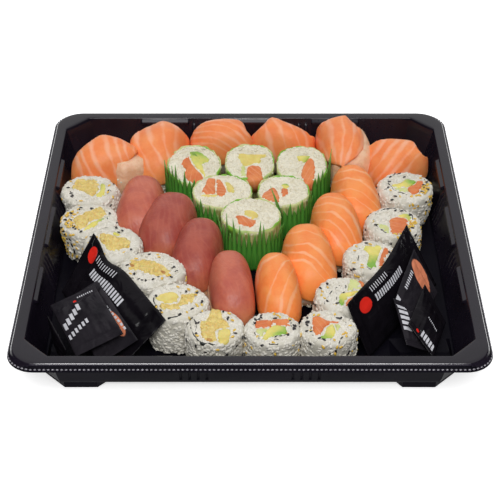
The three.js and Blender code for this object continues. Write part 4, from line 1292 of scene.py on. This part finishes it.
backNigiri = [
    {"at": (-105, 86), "heading": 80, "length": 55, "width": 35, "top": 46, "fishLength": 60, "skirt": 0.1,
     "riceLength": 0.52, "riceHeight": 0.8, "riceShift": (14.8, -2),
     "hemLeft": [(-38, -27.5), (-14, -27), (0, -22)],
     "lines": [[(-24, -2), (-21, -16), (-19, -26)], [(-19.8, -5), (-17, -14), (-13, -26.5)],
              [(-11.6, 0), (-9, -14), (-3, -30)], [(-0.4, 7), (1.5, -5), (5, -19), (8, -33)],
              [(6, 12), (8.5, -2), (12, -17)], [(12, 9), (13.4, -1.5), (16, -14)],
              [(19, 2), (20, -6), (22, -14)]],
     "crest": [(-27, -14), (-24, -4), (-19.7, 3.5), (-12, 13), (-4.7, 19.4), (5, 16.6), (10, 13.5),
              (14, 10), (20, 4), (24, -4)],
     "hem": [(-38, 10), (-18, 13.5), (-8, 20), (0, 24)]},
    {"at": (-68, 101), "heading": 18, "length": 62, "width": 38, "top": 47,
     "lines": [[(-17.5, 8.5), (-15.6, -5), (-10, -24)], [(-8, 17), (-7, 5), (-5, -6.5), (0, -18), (3, -26)],
              [(2, 22), (4, 5), (5.5, -10), (8, -24)], [(13, 17), (12, 3.5), (13, -14), (15, -24)]],
     "crest": [(-22.5, 2), (-16, 12), (-7.5, 19), (2, 25), (11, 20), (17.5, 12), (22, 3.5), (24, -6.5)]},
    {"at": (-21, 114.5), "heading": 84, "length": 50, "width": 31.5, "top": 47,
     "lines": [[(-17.7, 8), (-4, 11.6), (6, 9), (13.5, 2), (18, -6.5)],
              [(-20, 3), (-6.5, 6), (3.5, 3), (11, -4), (17, -14)],
              [(-20, -4), (-9, -3), (0, -6.5), (8.5, -14), (15, -21.5)],
              [(-19, -11), (-9, -11), (-1.5, -15), (6, -23)], [(-19, -18), (-6.5, -19), (0, -25)]],
     "crest": [(-23.4, -5), (-21, 2), (-13.4, 10.4), (-4, 13.5), (9.7, 13.5), (16, 8), (20, -10)]},
    {"at": (25, 114.5), "heading": -78, "length": 50, "width": 30, "top": 47,
     "lines": [[(-20, -2.5), (-22, -11)], [(-13.5, 5), (-11.6, -7.5), (-9, -22.5)],
              [(-6.6, 10), (-3, 2.5), (0, -10), (2, -26)], [(5, 6), (9, -6), (11.5, -16)],
              [(14, -1), (16.5, -10), (17, -21)]],
     "crest": [(-25, -16), (-24, -7.5), (-20, -1), (-15, 6), (-8.5, 16), (1.5, 10), (9, 5), (16.5, -1),
              (20, -6)]},
    {"at": (69.5, 101.5), "heading": -6, "length": 60, "width": 38, "top": 48, "skirt": 0.1,
     "riceWidth": 1.0, "riceHeight": 0.8, "riceShift": (3, 2),
     "lines": [[(-21, 9), (-16, -4), (-12, -22.5)], [(-11, 25), (-9, 15), (-9, 5), (-9, -10), (-5.6, -29)],
              [(0, 27), (1, 10), (-1, -10), (-3, -26)], [(9, 19), (8, 9), (5, -10), (1, -29)],
              [(16, 10), (15, -4), (11, -20)]],
     "crest": [(-24.4, 10), (-22.5, 15), (-15.6, 22.5), (-7.5, 28), (2, 31.6), (4.4, 29), (10, 20),
              (15, 12.5), (17.5, 2.5)],
     "hem": [(-36, -1), (-24.7, 9.3), (-15.8, 13.6), (-6, 18.5), (12.3, 15.5)],
     "hemLeft": [(-36, -2), (-33, -11), (-16, -18), (1, -23)]},
    {"at": (110, 88), "heading": 62, "length": 47, "width": 33, "top": 43,
     "lines": [[(-9, 12), (-14, 1), (-20, -12)], [(-1.5, 9), (-6.5, 1), (-13, -15)],
              [(3.5, 4), (-1.5, -6), (-8, -21)], [(10, -1), (5, -10), (-3, -26)],
              [(15, -6), (10, -16), (5, -27.5)]],
     "crest": [(-20, 6), (-15, 11), (-6.5, 13), (6, 12), (12, 9), (14.5, 1), (17, -9)]},
]


# Rises by one at each pale line, so that the lines lie at whole numbers.
def linePhase(lines, x, y):
    total = 0.0
    for line in lines:
        best, side = 1e9, 1.0
        last = len(line) - 2
        for i, ((ax, ay), (bx, by)) in enumerate(zip(line, line[1:])):
            dx, dy = bx - ax, by - ay
            t = ((x - ax) * dx + (y - ay) * dy) / (dx * dx + dy * dy)
            t = clamp(t, -9.0 if i == 0 else 0.0, 10.0 if i == last else 1.0)
            apart = hypot(x - ax - t * dx, y - ay - t * dy)
            if apart < best:
                best, side = apart, 1.0 if dx * (y - ay) - dy * (x - ax) > 0 else -1.0
        total += 1 / (1 + exp(-clamp(side * best / 1.9, -30, 30)))
    return total - 0.5


# Seen from the front above, a millimetre up counts for more than one back by this ratio.
viewRatio = 1.35
fishShape = {"squareness": 3.2, "narrowing": 0.42, "roundness": 0.8, "backDrop": 0.14, "frontDrop": 0.4,
             "skirt": 0.34, "skirtWave": 1.4, "under": 4.2, "waist": 0.42}


# The slice of fish. Some are shaped further by the crest and the hems they show from the front above.
def addFish(piece, look):
    length, width = piece.get("fishLength", piece["length"]), piece["width"]
    height = piece["top"] - foodFloor
    skirt = piece.get("skirt", fishShape["skirt"]) * height
    number = len(piece["name"]) + piece["at"][0] * 0.37
    bm = bmesh.new()
    bmesh.ops.create_icosphere(bm, subdivisions=5, radius=1)
    uvLayer = uvLayerOf(bm)
    phases = {}
    spots = {}
    for vert in bm.verts:
        d = vert.co.normalized()
        t, phi = clamp(d.y, -1, 1), atan2(d.z, d.x)
        half = width / 2 * (1 - abs(t) ** fishShape["squareness"]) ** fishShape["narrowing"]
        across, along = half * softPower(cos(phi), fishShape["roundness"]), t * length / 2
        drop = fishShape["backDrop"] * t ** 4 if t > 0 else fishShape["frontDrop"] * t * t
        crown = height * (1 - drop)
        low = skirt + fishShape["skirtWave"] * rough(across, along, 0, 14, number)
        up = softPower(sin(phi), fishShape["roundness"])
        z = lerp(low, crown, up) if up > 0 else low - fishShape["under"] * abs(up) ** 0.75
        z = lerp(fishShape["waist"] * crown, z, sqrt(1 - abs(t) ** 9))
        across *= 1 + 0.02 * rough(across, along, z, 16, number)
        z += 0.5 * rough(across, along, 0, 11, number + 3)
        x, y = turned(across, along, piece["heading"])
        spots[vert.index] = (x, y, z, across, along)
    seen = {index: (x, y + viewRatio * (foodFloor + z - 40)) for index, (x, y, z, _, _) in spots.items()}
    ridges = {}
    for px, py in seen.values():
        ridges[round(px)] = max(ridges.get(round(px), -99), py)
    outline = curveThrough(piece["crest"], 4) if "crest" in piece else []
    for vert in bm.verts:
        x, y, z, across, along = spots[vert.index]
        px, py = seen[vert.index]
        if outline:
            k, here = floor(px), ridges[round(px)]
            ridge = lerp(ridges.get(k, here), ridges.get(k + 1, here), px - k)
            shift = (heightAt(outline, px) - ridge) * smoothStep(-16, 0, py - ridge)
            y += 0.5 * shift
            z += 0.5 * shift / viewRatio
            py += shift
        for key, sign in (("hem", 1), ("hemLeft", -1)):
            over = max(0.0, sign * (px - heightAt(piece[key], py))) if key in piece else 0.0
            x -= 0.97 * sign * over
            px -= sign * over
        vert.co = (piece["at"][0] + x, piece["at"][1] + y, foodFloor + z)
        if "lines" in piece:
            phase = linePhase(piece["lines"], px, py)
        else:
            phase = 0.2 * across + 0.09 * along + 1.4 * rough(across, along * 0.5, 0, 13, number)
        phases[vert.index] = (phase, z / height)
    for face in bm.faces:
        for loop in face.loops:
            loop[uvLayer].uv = phases[loop.vert.index]
    finishLayer(bm, piece, "Slice", look)


# Share of the height and share of the reach, from the middle below to the middle above.
ballRings = [(0, 0.0), (0, 0.86), (0.12, 0.97), (0.4, 1.0), (0.75, 0.95), (0.94, 0.8), (1.02, 0.0)]


# The rice under a slice. Where it is shifted, fish hangs over its side, so its core is fish-coloured.
def addRiceBall(piece):
    bm = bmesh.new()
    length = piece["length"] * piece.get("riceLength", 0.9)
    width = piece["width"] * piece.get("riceWidth", 0.84)
    high = piece.get("riceHeight", 0.5) * (piece["top"] - foodFloor)
    shiftX, shiftY = piece.get("riceShift", (0, 0))
    middle = Vector((piece["at"][0] + shiftX, piece["at"][1] + shiftY, foodFloor))
    pale = "riceShift" in piece

    def at(u, v):
        beta = 2 * pi * u
        level, reach = ballRings[round(v * 6)]
        t = softPower(sin(beta), 2 / 3.2)
        across = width / 2 * softPower(cos(beta), 0.84)
        reach *= 1 + 0.03 * rough(across, length * t, 6 * level, 6, piece["at"][0])
        x, y = turned(across * reach, length / 2 * t * reach, piece["heading"])
        return middle + Vector((x, y, high * level))

    mapped(bm, 64, 6, at)
    finishLayer(bm, piece, "Rice", fishPale if pale else riceWarmShadedBase)
    count, span, depth = grainCounts["ball"], 0.5 if pale else 0.9, 1.2 if pale else 0.4
    spots = []
    for i in range(count):
        u, level = random.random(), 0.05 + span * (i + 0.5) / count
        p, q = at(u, 0.5), at(u + 0.003, 0.5)
        normal = Vector((q.y - p.y, p.x - q.x, 0)).normalized()
        if normal.dot(p - middle) < 0:
            normal = -normal
        spots.append((Vector((p.x, p.y, foodFloor + high * level)) - depth * normal, normal))
    scatterGrains(piece, spots, riceWarm)


for group, name, fish, look in ((tunaNigiri, "tuna", "tuna", tuna),
                                (salmonNigiri, "salmon", "salmon", salmon),
                                (backNigiri, "back", "salmon", salmonBack)):
    nameAll(group, name, "nigiri_" + name, fish)
    for piece in group:
        addFish(piece, tunaPale if piece["name"] in ("tuna1", "tuna4") else look)
        addRiceBall(piece)
print("nigiri made")

# Dividers: upright strips round a maki, cut into pointed blades that splay a little.
# tips are the tall blades by angle, height and how far the tip leans along the strip.
dividers = [
    {"round": 0, "from": 175, "to": 285, "tall": (33, 38), "band": 20, "seed": 2,
     "tips": [(198, 39, 0), (214, 41, 0), (226, 43, 0), (239, 45.5, 0), (252, 42, 0), (264, 35, 0)]},
    {"round": 3, "from": 172, "to": 262, "tall": (30, 35), "band": 18.5, "seed": 4,
     "tips": [(222, 36, 0), (230, 39.5, 0), (245, 36, 0), (256, 35, 0)]},
    {"round": 5, "from": 172, "to": 362, "tall": (33, 40), "band": 20, "seed": 6,
     "tips": [(214, 40, 0), (223, 51, 1), (237, 48.5, -1), (251, 44.5, 0), (268, 40, 0), (284, 49, 1),
              (290, 45, 0), (339, 32, 0), (356, 33, 0)]},
    {"round": 4, "from": 258, "to": 352, "tall": (31, 37), "band": 20, "seed": 7,
     "tips": [(264, 51, -8), (280, 38, 0), (296, 35, 0), (312, 38, 0), (324, 42, 0), (336, 40, 0)]},
    {"round": 2, "from": 290, "to": 378, "tall": (33, 39), "band": 21, "seed": 9,
     "tips": [(304, 38.5, -1), (312, 40, 0), (330, 40, 0), (342, 45, 0), (356, 49.5, 0), (366, 44, 0)]},
]
bladePitch, bladeSteps, stripThickness, mapHeight = 3.5, 6, 0.35, 34
nameAll(dividers, "grass", "divider", "divider_plastic")
for divider in dividers:
    roll = makiRolls[divider["round"]]
    reach = roll["radius"] + 1.4
    start, arc = radians(divider["from"]), radians(divider["to"] - divider["from"])
    valley = foodFloor + divider["band"]
    blades = round(arc * reach / bladePitch)
    pick = random.Random(divider["seed"])
    tips = [lerp(*divider["tall"], pick.random()) for _ in range(blades)]
    splays = [pick.uniform(0.0, 1.2) for _ in range(blades)]
    leans = [pick.uniform(-1.6, 1.6) for _ in range(blades)]
    for angle, tip, lean in divider["tips"]:
        share = (angle - divider["from"]) / (divider["to"] - divider["from"])
        k = clamp(floor(share * blades), 0, blades - 1)
        tips[k], leans[k] = tip, leans[k] * 0.4 + lean
    bm = bmesh.new()

    # Which blade a share along the strip falls on, its tip, and how much of its height it has there.
    def bladeAt(u):
        k = min(int(u * blades + 1e-6), blades - 1)
        return k, tips[k], (1 - abs(2 * clamp(u * blades - k) - 1)) ** 0.9

    def at(u, v):
        k, tip, peak = bladeAt(u)
        z = lerp(foodFloor, lerp(valley, tip, peak), v)
        over = ramp(valley, tip, z)
        angle = start + arc * u + leans[k] * over ** 1.4 / reach
        wave = 0.3 * sin(2.2 * u * blades) + 0.3 * cos(2 * pi * u * blades) * (1 - over)
        out = reach + wave + splays[k] * over ** 1.5
        return (roll["at"][0] + out * cos(angle), roll["at"][1] + out * sin(angle), z)

    def mapAt(u, v):
        k, tip, peak = bladeAt(u)
        return (u * blades, v * lerp(divider["band"], tip - foodFloor, peak) / mapHeight)

    mapped(bm, blades * bladeSteps, 12, at, mapAt)
    sheet = finishLayer(bm, divider, "", grassPlastic).modifiers.new("thickness", "SOLIDIFY")
    sheet.thickness = stripThickness * mm
    sheet.offset = 0
print("dividers made")

# Sachets: flat crimped seams at both ends, and a creased pillow between them.
filmShape = {"seam": 0.14, "halfThickness": 0.3, "crimp": 0.22, "crimpPitch": 1.6, "folds": 1.3,
             "foldReach": 0.2, "bend": 1.2}
seam = filmShape["seam"]
for number, sachet in enumerate(sachets):
    a, b, c, d = sachet["corners"]
    wide = (b - a).length
    sag, sagAt, sagWidth = sachet.get("sag", (0, 0, 1))
    bm = bmesh.new()

    def surface(s, t, side):
        level = lerp(t, 1, sag * exp(-((s - sagAt) / sagWidth) ** 2))
        point = a.lerp(b, s).lerp(d.lerp(c, s), level)
        inner = ramp(seam, 1 - seam, s)
        pillow = 4 * sqrt(inner * (1 - inner)) * sqrt(clamp(t * (1 - t))) * sachet["fill"]
        if seam < s < 1 - seam:
            fade = exp(-min(s - seam, 1 - seam - s) / filmShape["foldReach"])
            crimp, folds = 0, filmShape["folds"] * fade * rough(t * 9, s * 1.5, number, 1.0, 3)
        else:
            crimp, folds = filmShape["crimp"] * sin(2 * pi * s * wide / filmShape["crimpPitch"]), 0
        bend = filmShape["bend"] * rough(s * 2, t * 2, number, 1.0, 8) * min(s, 1 - s) * 4 * min(t, 1 - t)
        out = side * (filmShape["halfThickness"] + pillow + folds * min(1, pillow))
        return point + sachet["facing"] * (out + crimp + bend)

    for side in (1, -1):
        mapped(bm, 72, 28, lambda u, v: surface(u, v, side), tag=0 if side > 0 else 1)
    bmesh.ops.bridge_loops(bm, edges=openEdges(bm))
    finishLayer(bm, sachet, "", filmLooks[sachet["film"]], filmLooks["plain"])
print("sachets made")

# Plain pale floor, soft studio light and the camera, whose focal length is in pixels of its view.
studio = {"dark": 0.03, "light": 0.86, "key": 24.0, "keySize": 0.95, "glow": 0.6}
view = {"sensor": 36, "focal": 1401, "pixels": 500, "from": (0, -0.7894, 0.5962), "to": (0, 0, 0.0116)}
bm = bmesh.new()
bmesh.ops.create_grid(bm, x_segments=1, y_segments=1, size=3)
floorMesh = meshFrom("floor", bm)
floorPiece = bpy.data.objects.new("floor", floorMesh)
bpy.context.scene.collection.objects.link(floorPiece)
floorLook, _, floorShader = newMaterial("floorWhite", colour=(0.95, 0.95, 0.95, 1), roughness=0.9)
floorShader.inputs["Emission Color"].default_value = (1, 1, 1, 1)
floorShader.inputs["Emission Strength"].default_value = studio["glow"]
floorMesh.materials.append(floorLook)

# A white ceiling and backdrop, dark low down in front and at the sides.
world = bpy.data.worlds.new("studio")
world.use_nodes = True
sky = world.node_tree
outward = add(sky, "ShaderNodeTexCoord").outputs["Generated"]
towards = add(sky, "ShaderNodeSeparateXYZ", {0: outward}).outputs
lit = maths(sky, "ADD", towards["Z"], maths(sky, "MULTIPLY", maths(sky, "MAXIMUM", towards["Y"], 0.0), 0.5))
lit = maths(sky, "SUBTRACT", lit, maths(sky, "MULTIPLY", maths(sky, "ABSOLUTE", towards["X"]), 0.2))
background = sky.nodes["Background"].inputs
background["Color"].default_value = (1, 1, 1, 1)
sky.links.new(spread(sky, lit, 0.42, 0.75, studio["dark"], studio["light"]), background["Strength"])
bpy.context.scene.world = world


def aimed(name, data, location, target):
    made = bpy.data.objects.new(name, data)
    made.location = location
    made.rotation_euler = (Vector(target) - Vector(location)).to_track_quat("-Z", "Y").to_euler()
    bpy.context.scene.collection.objects.link(made)
    return made


lamps = [aimed("softKey", bpy.data.lights.new("softKey", "AREA"), (-0.06, -1.45, 1.6), (0, 0, 0.02))]
lamps[0].data.energy, lamps[0].data.size = studio["key"], studio["keySize"]
camera = aimed("camera", bpy.data.cameras.new("camera"), view["from"], view["to"])
camera.data.sensor_width = view["sensor"]
camera.data.lens = view["sensor"] * view["focal"] / view["pixels"]
bpy.context.scene.camera = camera
bpy.context.scene.view_settings.view_transform = "Standard"
print("stage made")
